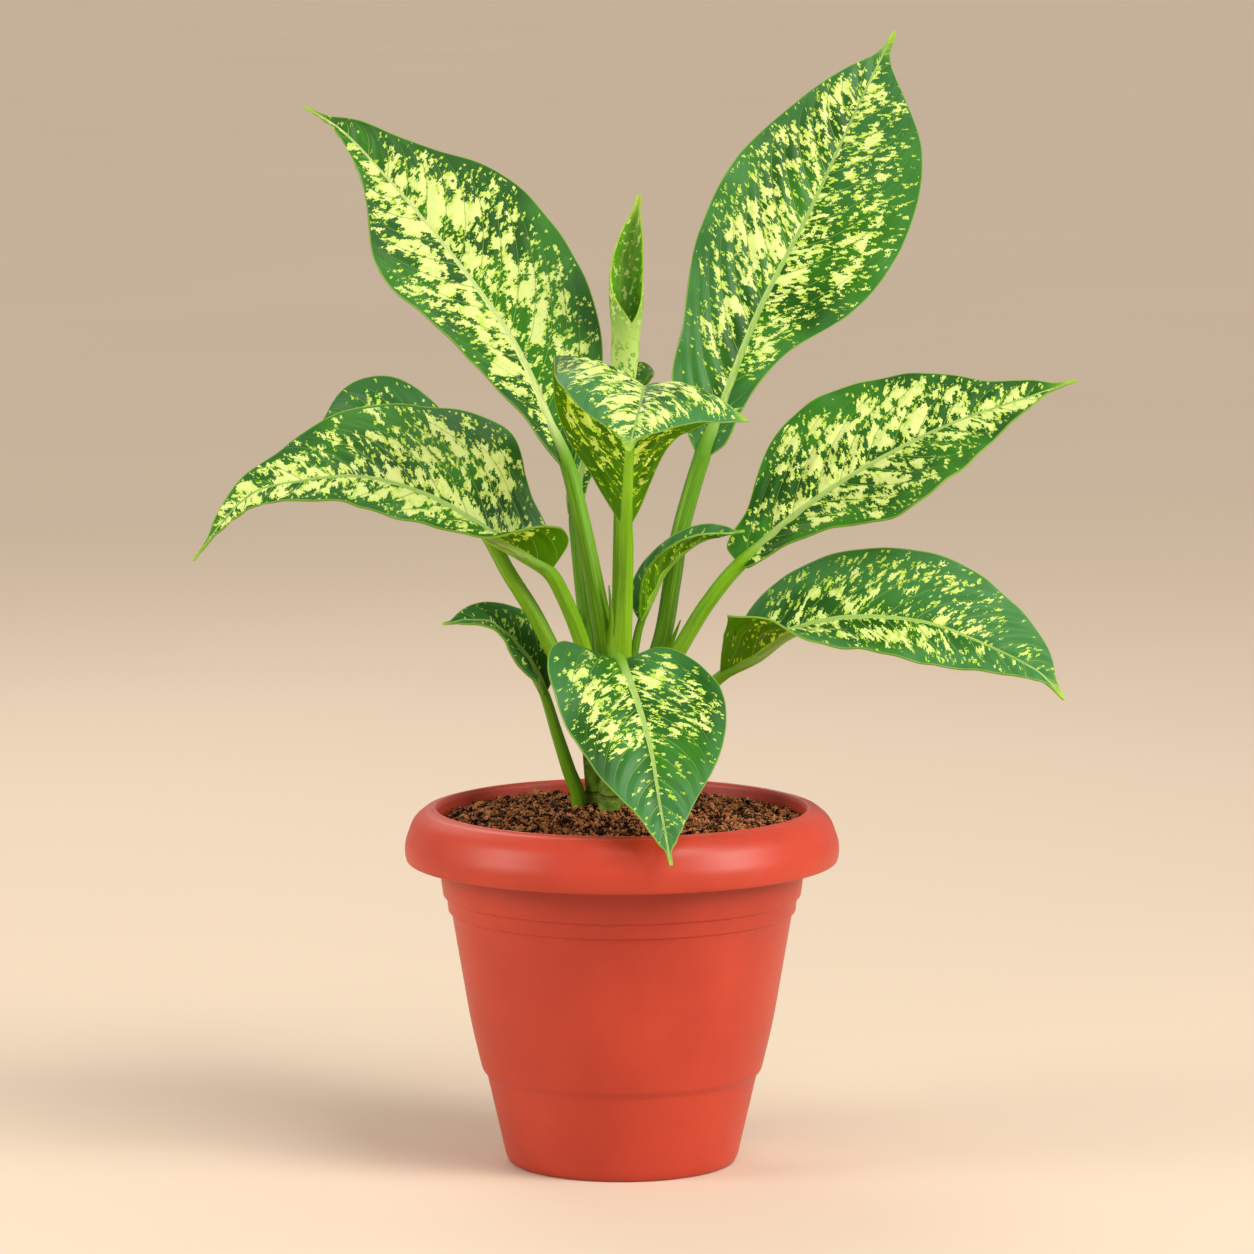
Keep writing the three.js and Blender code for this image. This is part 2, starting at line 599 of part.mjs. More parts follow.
addMesh("pot", potGeometry(), POT_FINISH);
for (const [name, cane] of Object.entries(CANES)) {
  addStem(name, caneSolid(cane, 0), caneSolid(cane, GAP), CANE_FINISH);
}
for (const [name, leaf] of Object.entries({ ...LEAVES, new: SPEAR })) {
  addStem("petiole_" + name, petioleSolid(leaf, 0), petioleSolid(leaf, GAP), PETIOLE_FINISH);
}
addMesh("soil", soilGeometry(grown), SOIL_FINISH);
for (const [name, leaf] of Object.entries(LEAVES)) addMesh("leaf_" + name, bladeGeometry(leaf), BLADE_FINISH);
addMesh("leaf_new", spearGeometry(), SPEAR_FINISH);

export default plant;
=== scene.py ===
"""Dresses a potted chinese evergreen: plastic pot, crumbly soil, fleshy stalks, spotted leaves."""

import math

import bpy
import numpy as np
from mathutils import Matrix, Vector, noise


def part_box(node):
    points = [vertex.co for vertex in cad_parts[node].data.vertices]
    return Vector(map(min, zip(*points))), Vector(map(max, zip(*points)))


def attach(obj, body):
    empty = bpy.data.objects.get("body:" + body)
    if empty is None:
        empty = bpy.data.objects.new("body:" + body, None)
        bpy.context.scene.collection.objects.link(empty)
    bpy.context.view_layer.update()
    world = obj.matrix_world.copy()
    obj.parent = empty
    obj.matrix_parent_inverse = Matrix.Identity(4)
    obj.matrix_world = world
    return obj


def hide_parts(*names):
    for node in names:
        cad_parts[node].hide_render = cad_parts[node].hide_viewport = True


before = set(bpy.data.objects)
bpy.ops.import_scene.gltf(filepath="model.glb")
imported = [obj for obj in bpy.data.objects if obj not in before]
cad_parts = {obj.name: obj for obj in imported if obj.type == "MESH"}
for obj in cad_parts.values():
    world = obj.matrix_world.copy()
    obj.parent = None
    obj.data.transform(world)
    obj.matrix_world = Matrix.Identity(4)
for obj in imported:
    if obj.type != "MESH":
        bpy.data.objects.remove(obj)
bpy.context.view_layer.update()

bl_info = {
    "name": "Potted Chinese Evergreen",
    "version": (1, 0, 0),
    "blender": (4, 5, 0),
    "location": "View3D > Sidebar > Evergreen",
    "description": "Builds a spotted foliage plant in a round plastic pot, piece by piece",
    "category": "Add Mesh",
}

MM = 0.001  # the plant's tables are in millimetres, and everything else is in metres


def paint(red, green, blue):
    """A colour picked from 0 to 255 on screen, as the linear values that shaders use."""
    shares = (red, green, blue)
    return tuple(math.pow((c / 255 + 0.055) / 1.055, 2.4) if c > 10 else c / 3295 for c in shares)


# ---------------------------------------------------------------- the plant
# Shares of a blade's length, from base to tip, at which its half-widths and its folds are given.
WIDTH_STATIONS = (0, 0.04, 0.12, 0.25, 0.42, 0.6, 0.78, 0.92, 1)
FOLD_STATIONS = (0, 0.12, 0.3, 0.6, 1)

# Each leaf, where a pair gives the left half and then the right half:
# petiole - its path, which runs on to the midrib's first point, with its radius at both ends;
# sheath - the free pointed tip beside some petioles;
# midrib - the path of the blade's middle, and face, the way its upper side looks;
# width - the half-widths from the base to the tip;
# fold, lift - how far a half is turned up, in degrees, beside the rib and at the margin;
# lobe - how far a margin reaches back behind the base, where it does;
# wave - the margins' ripple: height, count and phase;
# roll - a stretch of each margin turned down or, below 0, up: depth, outward share, middle, length;
# tone - how much of it is cream, how pale the midrib is, and how much painted sheen (a pale cool
# reflection) it carries, which also draws out its splash cells;
# shade - how dark its stalk is: partly its own darker green and partly painted shade, most on the
# stalks set back in the clump;
# splashes - where along the blade they start and end.
LEAVES = {
    "upper_left": {
        "petiole": [(-5, 8, 200), (-8, 9, 239), (-13, 9, 269), (-19, 11, 298)],
        "radius": (5.2, 3.6),
        "sheath": [(-7, 7, 236), (-5, 4, 252), (-6, 2, 268)],
        "midrib": [
            (-25, 13, 322), (-32, 18, 339), (-51, 32, 379), (-82, 46, 421),
            (-112, 58, 455), (-130, 65, 473), (-148, 72, 484),
        ],
        "face": [(0.1, -1, 0.3), (0.2, -1, 0.3), (0, -1, 0.4)],
        "width": ((3, 7, 11, 21, 29.5, 34, 11, 2, 0.7), (3, 9, 26, 39, 47, 42, 20, 6, 0.7)),
        "fold": ((25, 20, 15, 15, 10), (20, 16, 12, 12, 10)),
        "lift": ((30, 20, 10, 10, 10), (20, 10, 0, 0, 10)),
        "wave": (1.5, 3, 0.1),
        "tone": (0.75, 0.9, 0.15),
        "shade": 0.5,
        "splashes": (0.04, 0.74),
    },
    "upper_right": {
        "petiole": [(0, 8, 196), (17, 12, 237), (23, 14, 268), (27, 16, 292)],
        "radius": (4.4, 4),
        "sheath": [(18, 12, 231), (23, 10, 241), (27, 9, 251)],
        "midrib": [
            (37, 20, 326), (45, 24, 346), (63, 36, 391),
            (88, 50, 439), (111, 62, 488), (127, 72, 519),
        ],
        "face": [(0, -1, 0.2), (0.1, -1, 0.3), (0.1, -1, 0.3)],
        "width": ((3, 12, 26, 31, 41.5, 42, 26, 8, 0.7), (3, 9, 10, 18, 40, 46, 36.5, 10, 0.7)),
        "fold": ((20, 16, 12, 12, 10), (25, 18, 12, 12, 10)),
        "lift": ((20, 12, 5, 5, 10), (30, 18, 5, 5, 10)),
        "wave": (1.5, 3, 0.6),
        "tone": (0.45, 0.35, 0.6),
        "shade": 0.8,
        "splashes": (0.12, 0.8),
    },
    "right": {
        "petiole": [(0, 5, 190), (13, 4, 214), (29, 2, 243), (40, 0, 261)],
        "radius": (4, 3.4),
        "midrib": [
            (54, 0, 278), (81, 0, 302), (110, 0, 322),
            (149, 2, 342), (190, 4, 356), (208, 6, 362),
        ],
        "face": [(-0.3, -0.8, 0.6), (-0.2, -0.8, 0.7), (-0.1, -0.8, 0.8)],
        "width": ((3, 11, 17, 36, 42, 33, 15, 7, 0.7), (3, 7, 11, 22, 36, 33, 15.5, 2.5, 0.7)),
        "fold": ((30, 21, 12, 12, 10), (25, 18, 12, 12, 10)),
        "lift": ((30, 20, 10, 10, 10), (20, 15, 10, 10, 10)),
        "lobe": (6, 4),
        "wave": (1.6, 3, 0.2),
        "tone": (0.9, 0.5, 0.15),
        "shade": 0.2,
        "splashes": (0.1, 0.8),
    },
    "lower_right": {
        "petiole": [(0, 5, 180), (14, 3, 195), (31, -2, 213)],
        "radius": (3.4, 2.8),
        "midrib": [
            (47, -6, 228), (61, -9, 237), (77, -13, 249), (104, -19, 256),
            (136, -26, 255), (161, -31, 247), (188, -36, 234), (201, -40, 221),
        ],
        "face": [
            (-0.5, -0.2, 0.9), (-0.1, -0.7, 0.8), (0.2, -0.9, 0.6),
            (0.3, -0.8, 0.6), (0.4, -0.8, 0.6),
        ],
        "width": ((3, 10, 18, 27, 33, 32, 24, 9.5, 0.7), (3, 20, 27, 24, 23, 24, 16, 5.5, 0.7)),
        "fold": ((30, 25, 15, 10, 10), (60, 70, 25, 10, 10)),
        "lift": ((40, 30, 20, 12, 10), (85, 100, 40, 12, 10)),
        "lobe": (4, -8),
        "wave": (1.4, 3, 0.4),
        "tone": (0.3, 0.4, 0.85),
        "shade": 0.35,
        "splashes": (0.06, 0.62),
    },
    "center": {
        "petiole": [(-2, 4, 196), (0, -4, 236), (2, -12, 282)],
        "radius": (5.3, 2.8),
        "midrib": [
            (2, -16, 299), (3, -20, 319), (5, -30, 345),
            (10, -52, 365), (8, -90, 360), (3, -118, 342),
        ],
        "face": [(0, 1, 0.2), (0.25, 0.8, 0.6), (0.35, 0, 1), (0.2, -0.7, 0.7)],
        "width": ((3, 6, 10, 17, 33, 48.5, 28, 9, 0.7), (3, 8, 17.5, 32, 42, 43, 38, 19, 0.7)),
        "fold": ((30, 20, 15, 36, 30), (30, 20, 8, 16, 10)),
        "lift": ((20, 10, 0, -40, -10), (20, 15, 5, -18, -10)),
        "wave": (1, 3, 0.4),
        "roll": ((-4.5, 0.03, 0.6, 0.05), (4, 0, 0.62, 0.16)),
        "tone": (0.75, 0.4, 1),
        "shade": 0,
        "splashes": (0, 0.9),
    },
    "left": {
        "petiole": [(-6, 6, 194), (-13, 0, 222), (-20, -6, 247), (-28, -12, 267)],
        "radius": (4, 3.4),
        "midrib": [
            (-34, -17, 277), (-46, -22, 287), (-58, -27, 295), (-86, -36, 313),
            (-116, -44, 323), (-145, -52, 322), (-169, -56, 315), (-193, -60, 287),
        ],
        "face": [
            (0.5, -0.2, 0.8), (0.1, -0.7, 0.8), (0, -0.7, 0.7),
            (-0.2, -0.7, 0.6), (-0.4, -0.7, 0.5),
        ],
        "width": (
            (3, 19, 23.5, 18.5, 20.5, 18, 8.5, 2, 0.7), (3, 13, 25, 48, 42.5, 28, 10, 3, 0.7),
        ),
        "fold": ((80, 60, 12, 10, 10), (30, 30, 15, 10, 10)),
        "lift": ((115, 80, 12, 10, 10), (50, 40, 15, 12, 10)),
        "lobe": (4, 8),
        "wave": (1.6, 3, 0.3),
        "tone": (0.85, 0.4, 0.3),
        "shade": 0.15,
        "splashes": (0.04, 0.8),
    },
    "left_back": {
        "petiole": [(-7, 6, 184), (-20, 2, 214), (-32, -4, 239), (-41, -6, 257), (-52, -8, 275)],
        "radius": (4, 3.4),
        "midrib": [
            (-63, -10, 295), (-79, 0, 312), (-102, 12, 329), (-125, 24, 340), (-144, 34, 336),
        ],
        "face": [(0.3, -0.5, 0.8), (0, -0.5, 0.8), (-0.4, -0.5, 0.6)],
        "width": ((3, 8, 14, 20, 22, 20, 14, 6, 0.7), (3, 12, 16, 27, 27, 31, 28.5, 12, 0.7)),
        "fold": ((20, 16, 12, 12, 10), (20, 16, 12, 12, 10)),
        "lift": ((20, 15, 10, 10, 10), (20, 18, 15, 15, 10)),
        "lobe": (2, 2),
        "wave": (1.2, 2, 0.2),
        "tone": (0.1, 0.4, 0.5),
        "shade": 0.2,
        "splashes": (0, 0.7),
    },
    "small_left": {
        "petiole": [(-20, 16, 137), (-20, 16, 165), (-25, 15, 181), (-30, 13, 197)],
        "radius": (4.2, 2.3),
        "midrib": [(-36, 10, 217), (-42, 4, 232), (-54, 0, 247), (-65, -4, 253), (-82, -10, 252)],
        "face": [(0.4, -0.6, 0.6), (0, -0.5, 0.8), (-0.3, -0.5, 0.7)],
        "width": ((2, 6, 8.5, 11.5, 13, 10, 6, 2.5, 0.6), (2, 5, 9, 15, 17, 13, 8, 3, 0.6)),
        "fold": ((40, 30, 20, 20, 10), (30, 25, 20, 20, 10)),
        "lift": ((60, 40, 20, 20, 10), (30, 25, 20, 20, 10)),
        "wave": (0.6, 2, 0.2),
        "tone": (-0.9, 0.4, 0.4),
        "shade": 0.5,
        "splashes": (0, 0.8),
    },
    "front": {
        "petiole": [(-3, 4, 192), (-2, -6, 212), (-3, -18, 228)],
        "radius": (3.6, 3),
        "midrib": [(-1, -34, 238), (6, -56, 225), (13, -80, 204), (17, -98, 182), (22, -114, 157)],
        "face": [(0.1, -0.3, 1), (0.1, -0.8, 0.7), (0.1, -1, 0.4)],
        "width": ((3, 20, 31, 38, 37, 28, 14, 4, 0.7), (3, 27, 38, 38, 35, 27, 12, 4, 0.7)),
        "fold": ((20, 16, 12, 12, 10), (20, 16, 12, 12, 10)),
        "lift": ((10, 5, 0, 0, 10), (10, 5, 0, 0, 10)),
        "lobe": (8, 17),
        "wave": (1.2, 3, 0.4),
        "tone": (0.4, 0.45, 0.9),
        "shade": 0.3,
        "splashes": (0, 0.44),
    },
    "small_right": {
        "petiole": [(0, 7, 200), (6, 9, 238)],
        "radius": (2.4, 1.8),
        "midrib": [(9, 9, 251), (14, 8, 265), (21, 5, 277), (36, 1, 289), (56, -3, 294)],
        "face": [(-0.7, -0.5, 0.4), (-0.5, -0.4, 0.8), (-0.1, -0.3, 1)],
        "width": ((1.8, 5, 9, 11, 10, 9, 7, 3, 0.6), (1.8, 5, 9, 13, 13, 11, 7, 3, 0.6)),
        "fold": ((40, 40, 40, 40, 20), (50, 50, 50, 50, 20)),
        "lift": ((40, 40, 40, 40, 20), (70, 65, 60, 60, 20)),
        "wave": (0.4, 2, 0.2),
        "tone": (-2, 0.4, 1),
        "shade": 0.5,
        "splashes": (0, 0.8),
    },
    "back": {
        "petiole": [(-14, 17, 203), (-15, 24, 239), (-18, 28, 255), (-21, 33, 283)],
        "radius": (3.4, 2.8),
        "sheath": [(-16, 23, 234), (-19, 23, 244), (-20, 22, 255)],
        "midrib": [
            (-22, 36, 297), (-20, 40, 313), (-14, 48, 330), (-4, 62, 350),
            (6, 78, 364), (7, 104, 357), (6, 122, 342),
        ],
        "face": [(0, -1, 0.2), (0, -0.8, 0.6), (0, 0, 1), (0, 0.7, 0.7)],
        "width": ((3, 4, 5, 6, 7, 8, 8, 5, 0.7), (3, 4, 5, 7, 9, 10, 9, 5, 0.7)),
        "fold": ((20, 16, 12, 6, 10), (20, 10, 0, -6, 0)),
        "lift": ((20, 15, 0, -30, -10), (20, 0, -30, -60, -30)),
        "wave": (1, 2, 0.2),
        "tone": (-0.7, 0.4, 0.5),
        "shade": 0.8,
        "splashes": (0, 0.8),
    },
}

# The rolled youngest leaf: its stalk, then the axis of the roll and its radius (girth) to the tip.
SPEAR = {
    "petiole": [(-2, 7, 206), (-2, 17, 250), (-1, 20, 300)],
    "radius": (2.8, 3),
    "midrib": [(0, 22, 351), (2, 22, 384), (2, 22, 407), (4, 22, 425), (8, 22, 446)],
    "girth": (4.4, 5.8, 6.6, 7.4, 7, 4.4, 0.7),
    "tone": (0.3, 0.8, 0.1),
    "shade": 0.1,
}

# The fleshy canes, from 28 mm under the soil up to the leaf stalks.
CANES = {
    "front": {
        "path": [(-5, 5, 137), (-5, 5, 165), (-3, 5, 190), (-1, 5, 214)],
        "radius": (6.5, 5),
    },
    "back": {
        "path": [(-11, 22, 137), (-12, 21, 165), (-14, 19, 190), (-15, 17, 214)],
        "radius": (5.2, 4.2),
    },
}

# Side veins leave the midrib at about 45 degrees and sweep towards the tip: they run on by this
# share of the way out, and by this much more at the margin. Each leaf shifts them by its number.
VEIN_RUN, VEIN_SWEEP, VEIN_SHIFT = 0.95, 0.85, 0.31


# ---------------------------------------------------------------- curves and values
def smooth(stations, values, x):
    """The value and the slope at each x of a smooth curve through the values at the stations."""
    stations = np.asarray(stations, float)
    values = np.asarray(values, float)
    last = len(stations) - 1
    before = np.maximum(np.arange(last + 1) - 1, 0)
    after = np.minimum(np.arange(last + 1) + 1, last)
    slopes = (values[after] - values[before]) / (stations[after] - stations[before])
    i = np.clip(np.searchsorted(stations, x, side="left") - 1, 0, last - 1)
    span = stations[i + 1] - stations[i]
    w = (x - stations[i]) / span
    leave, arrive = slopes[i], slopes[i + 1]
    start = values[i] * (2 * w**3 - 3 * w**2 + 1) + leave * span * (w**3 - 2 * w**2 + w)
    end = values[i + 1] * (3 * w**2 - 2 * w**3) + arrive * span * (w**3 - w**2)
    climb = (values[i + 1] - values[i]) * (6 * w - 6 * w**2) / span
    return start + end, climb + leave * (3 * w**2 - 4 * w + 1) + arrive * (3 * w**2 - 2 * w)


def evenly(values, x):
    """A smooth value at each x from 0 to 1 through evenly spread values."""
    return smooth(np.linspace(0, 1, len(values)), values, x)[0]


def ease(x):
    """From 0 to 1 with a soft start and end."""
    x = np.clip(x, 0, 1)
    return x * x * (3 - 2 * x)


def unit(vectors):
    """Vectors made one unit long."""
    return vectors / np.linalg.norm(vectors, axis=-1, keepdims=True)


class Path:
    """A smooth curve through points in millimetres, read in metres at shares of its length."""

    SAMPLES = 48  # between two points

    def __init__(self, points):
        knots = np.array(points, float) * MM
        x = np.arange((len(knots) - 1) * self.SAMPLES + 1) / self.SAMPLES
        columns = [smooth(np.arange(len(knots)), column, x) for column in knots.T]
        places, slopes = (np.stack(part, -1) for part in zip(*columns))
        self.places, self.slopes = places, unit(slopes)
        steps = np.linalg.norm(np.diff(self.places, axis=0), axis=1)
        self.distances = np.concatenate([[0], np.cumsum(steps)])
        self.length = self.distances[-1]

    def share_of(self, point):
        """The share of the length at one of the points, counted from 0."""
        return self.distances[point * self.SAMPLES] / self.length

    def at(self, share):
        """Places and directions at shares of the length."""
        distance = np.asarray(share) * self.length
        both = np.hstack([self.places, self.slopes])
        read = np.stack([np.interp(distance, self.distances, column) for column in both.T], -1)
        return read[..., :3], unit(read[..., 3:])


def leaf_path(leaf):
    """The whole path of a leaf and the share of it at which the blade starts."""
    path = Path(leaf["petiole"] + leaf["midrib"])
    return path, path.share_of(len(leaf["petiole"]))


def blade_frame(leaf, s):
    """The middle of a blade at s, and the ways along it, to its right and out of its upper side."""
    path, split = leaf_path(leaf)
    middle, along = path.at(split + (1 - split) * s)
    look = np.stack([evenly([face[k] for face in leaf["face"]], s) for k in range(3)], -1)
    up = unit(look - along * np.sum(look * along, -1, keepdims=True))
    return middle, along, np.cross(along, up), up


def by_half(v, pair, stations, s):
    """The left or the right of a pair of lists, as v is below or above 0, read at s."""
    left, right = pair
    return np.where(v > 0, smooth(stations, right, s)[0], smooth(stations, left, s)[0])


def blade_points(leaf, s, v):
    """Points on a blade's upper side, the way out of it there, and the half-width.

    s runs from the base, 0, to the tip, 1, and v from the left margin, -1, to the right one, 1.
    """
    middle, along, right, up = blade_frame(leaf, s)
    share = np.abs(v)
    width = np.maximum(by_half(v, leaf["width"], WIDTH_STATIONS, s), 0.6)
    fold = np.radians(by_half(v, leaf["fold"], FOLD_STATIONS, s))
    bend = np.radians(by_half(v, leaf["lift"], FOLD_STATIONS, s)) - fold
    bend = np.where(np.abs(bend) < 1e-4, 1e-4, bend)
    angle = fold + bend * share
    out = (np.sin(angle) - np.sin(fold)) / bend
    rise = (np.cos(fold) - np.cos(angle)) / bend
    side = right * np.where(v > 0, 1, -1)[:, None]
    normal = side * -np.sin(angle)[:, None] + up * np.cos(angle)[:, None]
    left_lobe, right_lobe = leaf.get("lobe", (0, 0))
    back = np.where(v > 0, right_lobe, left_lobe) * share**2
    back = back * np.maximum(0, 1 - s / 0.3) ** 2 * np.minimum(1, s / 0.03)
    height, count, phase = leaf["wave"]
    swing = np.sin(2 * math.pi * (count * s + phase + 0.37 * (v > 0)))
    ripple = height * share**2 * swing * np.sin(math.pi * s)
    points = middle + side * (width * out * MM)[:, None] + up * (width * rise * MM)[:, None]
    points += along * (-back * MM)[:, None] + normal * (ripple * MM)[:, None]
    return points, normal, width * MM


# ---------------------------------------------------------------- modelling helpers
def deselect():
    """Leaves nothing selected."""
    bpy.ops.object.select_all(action="DESELECT")


def make_active(piece):
    """Makes a piece the only selected one."""
    deselect()
    piece.select_set(True)
    bpy.context.view_layer.objects.active = piece


def add_grid(name, columns, rows):
    """A primitive grid two units wide, the start of every sheet and tube."""
    deselect()
    bpy.ops.mesh.primitive_grid_add(x_subdivisions=columns, y_subdivisions=rows, size=2)
    piece = bpy.context.active_object
    piece.name = name
    return piece


def grid_shares(piece):
    """Each vertex's share of the way across and along a flat grid."""
    flat = np.empty(len(piece.data.vertices) * 3)
    piece.data.vertices.foreach_get("co", flat)
    return (flat[0::3] + 1) / 2, (flat[1::3] + 1) / 2


def place_vertices(piece, points):
    """Moves a piece's vertices to points."""
    piece.data.vertices.foreach_set("co", np.ascontiguousarray(points, dtype=np.float64).ravel())
    piece.data.update()


def add_attribute(piece, name, *columns):
    """Stores three values at each vertex for the materials to read."""
    rows = np.stack([np.broadcast_to(c, len(piece.data.vertices)) for c in columns], -1)
    layer = piece.data.attributes.new(name, "FLOAT_VECTOR", "POINT")
    layer.data.foreach_set("vector", np.ascontiguousarray(rows, dtype=np.float32).ravel())


def link(piece):
    """Adds an object to the scene."""
    bpy.context.collection.objects.link(piece)


def edit(piece, *steps):
    """Runs edit-mode steps on all of a piece."""
    make_active(piece)
    bpy.ops.object.mode_set(mode="EDIT")
    bpy.ops.mesh.select_all(action="SELECT")
    for step in steps:
        step()
    bpy.ops.object.mode_set(mode="OBJECT")


def apply_modifier(piece, kind, **settings):
    """Puts one modifier on a piece and applies it."""
    make_active(piece)
    modifier = piece.modifiers.new(kind.title(), kind)
    for key, value in settings.items():
        setattr(modifier, key, value)
    bpy.ops.object.modifier_apply(modifier=modifier.name)


def weld():
    """Merges vertices that share a place."""
    bpy.ops.mesh.remove_doubles(threshold=1e-6)


def select_open_edges():
    """Selects only the edges round holes."""
    bpy.ops.mesh.select_all(action="DESELECT")
    bpy.ops.mesh.select_non_manifold()


def face_outward():
    """Turns every face outward."""
    bpy.ops.mesh.select_all(action="SELECT")
    bpy.ops.mesh.normals_make_consistent(inside=False)


def close_tube(piece):
    """Joins a rolled grid's two long edges and closes its ends."""
    edit(piece, weld, select_open_edges, lambda: bpy.ops.mesh.fill_holes(sides=0))


def join(pieces):
    """Joins pieces into the first."""
    make_active(pieces[0])
    for piece in pieces[1:]:
        piece.select_set(True)
    bpy.ops.object.join()
    return pieces[0]


def smooth_shade(piece, degrees=50):
    """Shades a piece smooth, but for edges sharper than an angle."""
    make_active(piece)
    bpy.ops.object.shade_smooth_by_angle(angle=math.radians(degrees))


def dress(piece, node, materials):
    """Gives a finished piece its materials, hangs it on the root body and hides the part that it
    stands for.
    """
    for material in materials:
        piece.data.materials.append(material)
    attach(piece, "root")
    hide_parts(node)


# ---------------------------------------------------------------- shader helpers
class Wire:
    """An output socket that takes part in shader maths."""

    def __init__(self, shader, socket):
        self.shader = shader
        self.socket = socket

    def __add__(self, other):
        return self.shader.maths("ADD", self, other)

    def __sub__(self, other):
        return self.shader.maths("SUBTRACT", self, other)

    def __rsub__(self, other):
        return self.shader.maths("SUBTRACT", other, self)

    def __mul__(self, other):
        return self.shader.maths("MULTIPLY", self, other)

    def __truediv__(self, other):
        return self.shader.maths("DIVIDE", self, other)

    def __rtruediv__(self, other):
        return self.shader.maths("DIVIDE", other, self)

    def __pow__(self, other):
        return self.shader.maths("POWER", self, other)

    def __rpow__(self, other):
        return self.shader.maths("POWER", other, self)

    def __gt__(self, other):
        return self.shader.maths("GREATER_THAN", self, other)

    def __lt__(self, other):
        return self.shader.maths("LESS_THAN", self, other)

    def __abs__(self):
        return self.shader.maths("ABSOLUTE", self)

    __radd__ = __add__
    __rmul__ = __mul__


class Shader:
    """A material whose node tree is written as Python expressions."""

    def __init__(self, name, constants):
        self.material = bpy.data.materials.new(name)
        self.material.use_nodes = True
        self.tree = self.material.node_tree
        self.tree.nodes.clear()
        self.surface = self.tree.nodes.new("ShaderNodeBsdfPrincipled")
        output = self.tree.nodes.new("ShaderNodeOutputMaterial")
        self.tree.links.new(self.surface.outputs[0], output.inputs[0])
        for key, value in constants.items():
            self.surface.inputs[key].default_value = value

    def feed(self, socket, value):
        """Links a wire to a socket, or sets the socket's value."""
        if isinstance(value, Wire):
            self.tree.links.new(value.socket, socket)
        elif socket.type == "RGBA" and len(value) == 3:
            socket.default_value = (*value, 1)
        else:
            socket.default_value = value

    def node(self, kind, sockets, output=0, **settings):
        """One node of a kind: its settings first, then the values or links of its sockets."""
        made = self.tree.nodes.new("ShaderNode" + kind)
        for key, value in settings.items():
            setattr(made, key, value)
        for key, value in sockets.items():
            self.feed(made.inputs[key], value)
        return Wire(self, made.outputs[output])

    def maths(self, operation, *values):
        """One step of arithmetic on numbers and wires."""
        return self.node("Math", dict(enumerate(values)), operation=operation)

    def mix(self, share, first, second):
        """A colour between two."""
        return self.node("Mix", {0: share, 6: first, 7: second}, output=2, data_type="RGBA")

    def attribute(self, name):
        """The three values of a vertex attribute."""
        return self.parts(self.node("Attribute", {}, output="Vector", attribute_name=name))

    def vector(self, x, y, z):
        """Three values as one vector."""
        return self.node("CombineXYZ", {0: x, 1: y, 2: z})

    def object_place(self):
        """The place on the piece, in metres."""
        return self.node("TexCoord", {}, output="Object")

    def step(self, value, low, high):
        """0 before low and 1 past high, smooth between them; low may be the higher of the two."""
        sockets = {"Value": value, "From Min": low, "From Max": high}
        return self.node("MapRange", sockets, interpolation_type="SMOOTHSTEP")

    def noise(self, vector, scale=1, detail=2, roughness=0.5, flat=False):
        """Smooth noise about 0.5, in space or in a flat plane."""
        sockets = {"Vector": vector, "Scale": scale, "Detail": detail, "Roughness": roughness}
        return self.node("TexNoise", sockets, noise_dimensions="2D" if flat else "3D")

    def cells(self, vector, output):
        """Irregular cells a unit wide in a plane: their random Color or their middle's Position."""
        sockets = {"Vector": vector, "Scale": 1}
        return self.node("TexVoronoi", sockets, output=output, voronoi_dimensions="2D")

    def parts(self, vector):
        """A vector's three values."""
        return [self.node("SeparateXYZ", {0: vector}, output=k) for k in range(3)]

    def finish(self, colour, roughness=None, height=None, relief=0.0005):
        """Feeds what varies over the surface, and returns the material."""
        self.feed(self.surface.inputs["Base Color"], colour)
        if roughness is not None:
            self.feed(self.surface.inputs["Roughness"], roughness)
        if height is not None:
            bump = self.node("Bump", {"Height": height, "Distance": relief, "Strength": 1})
            self.feed(self.surface.inputs["Normal"], bump)
        return self.material


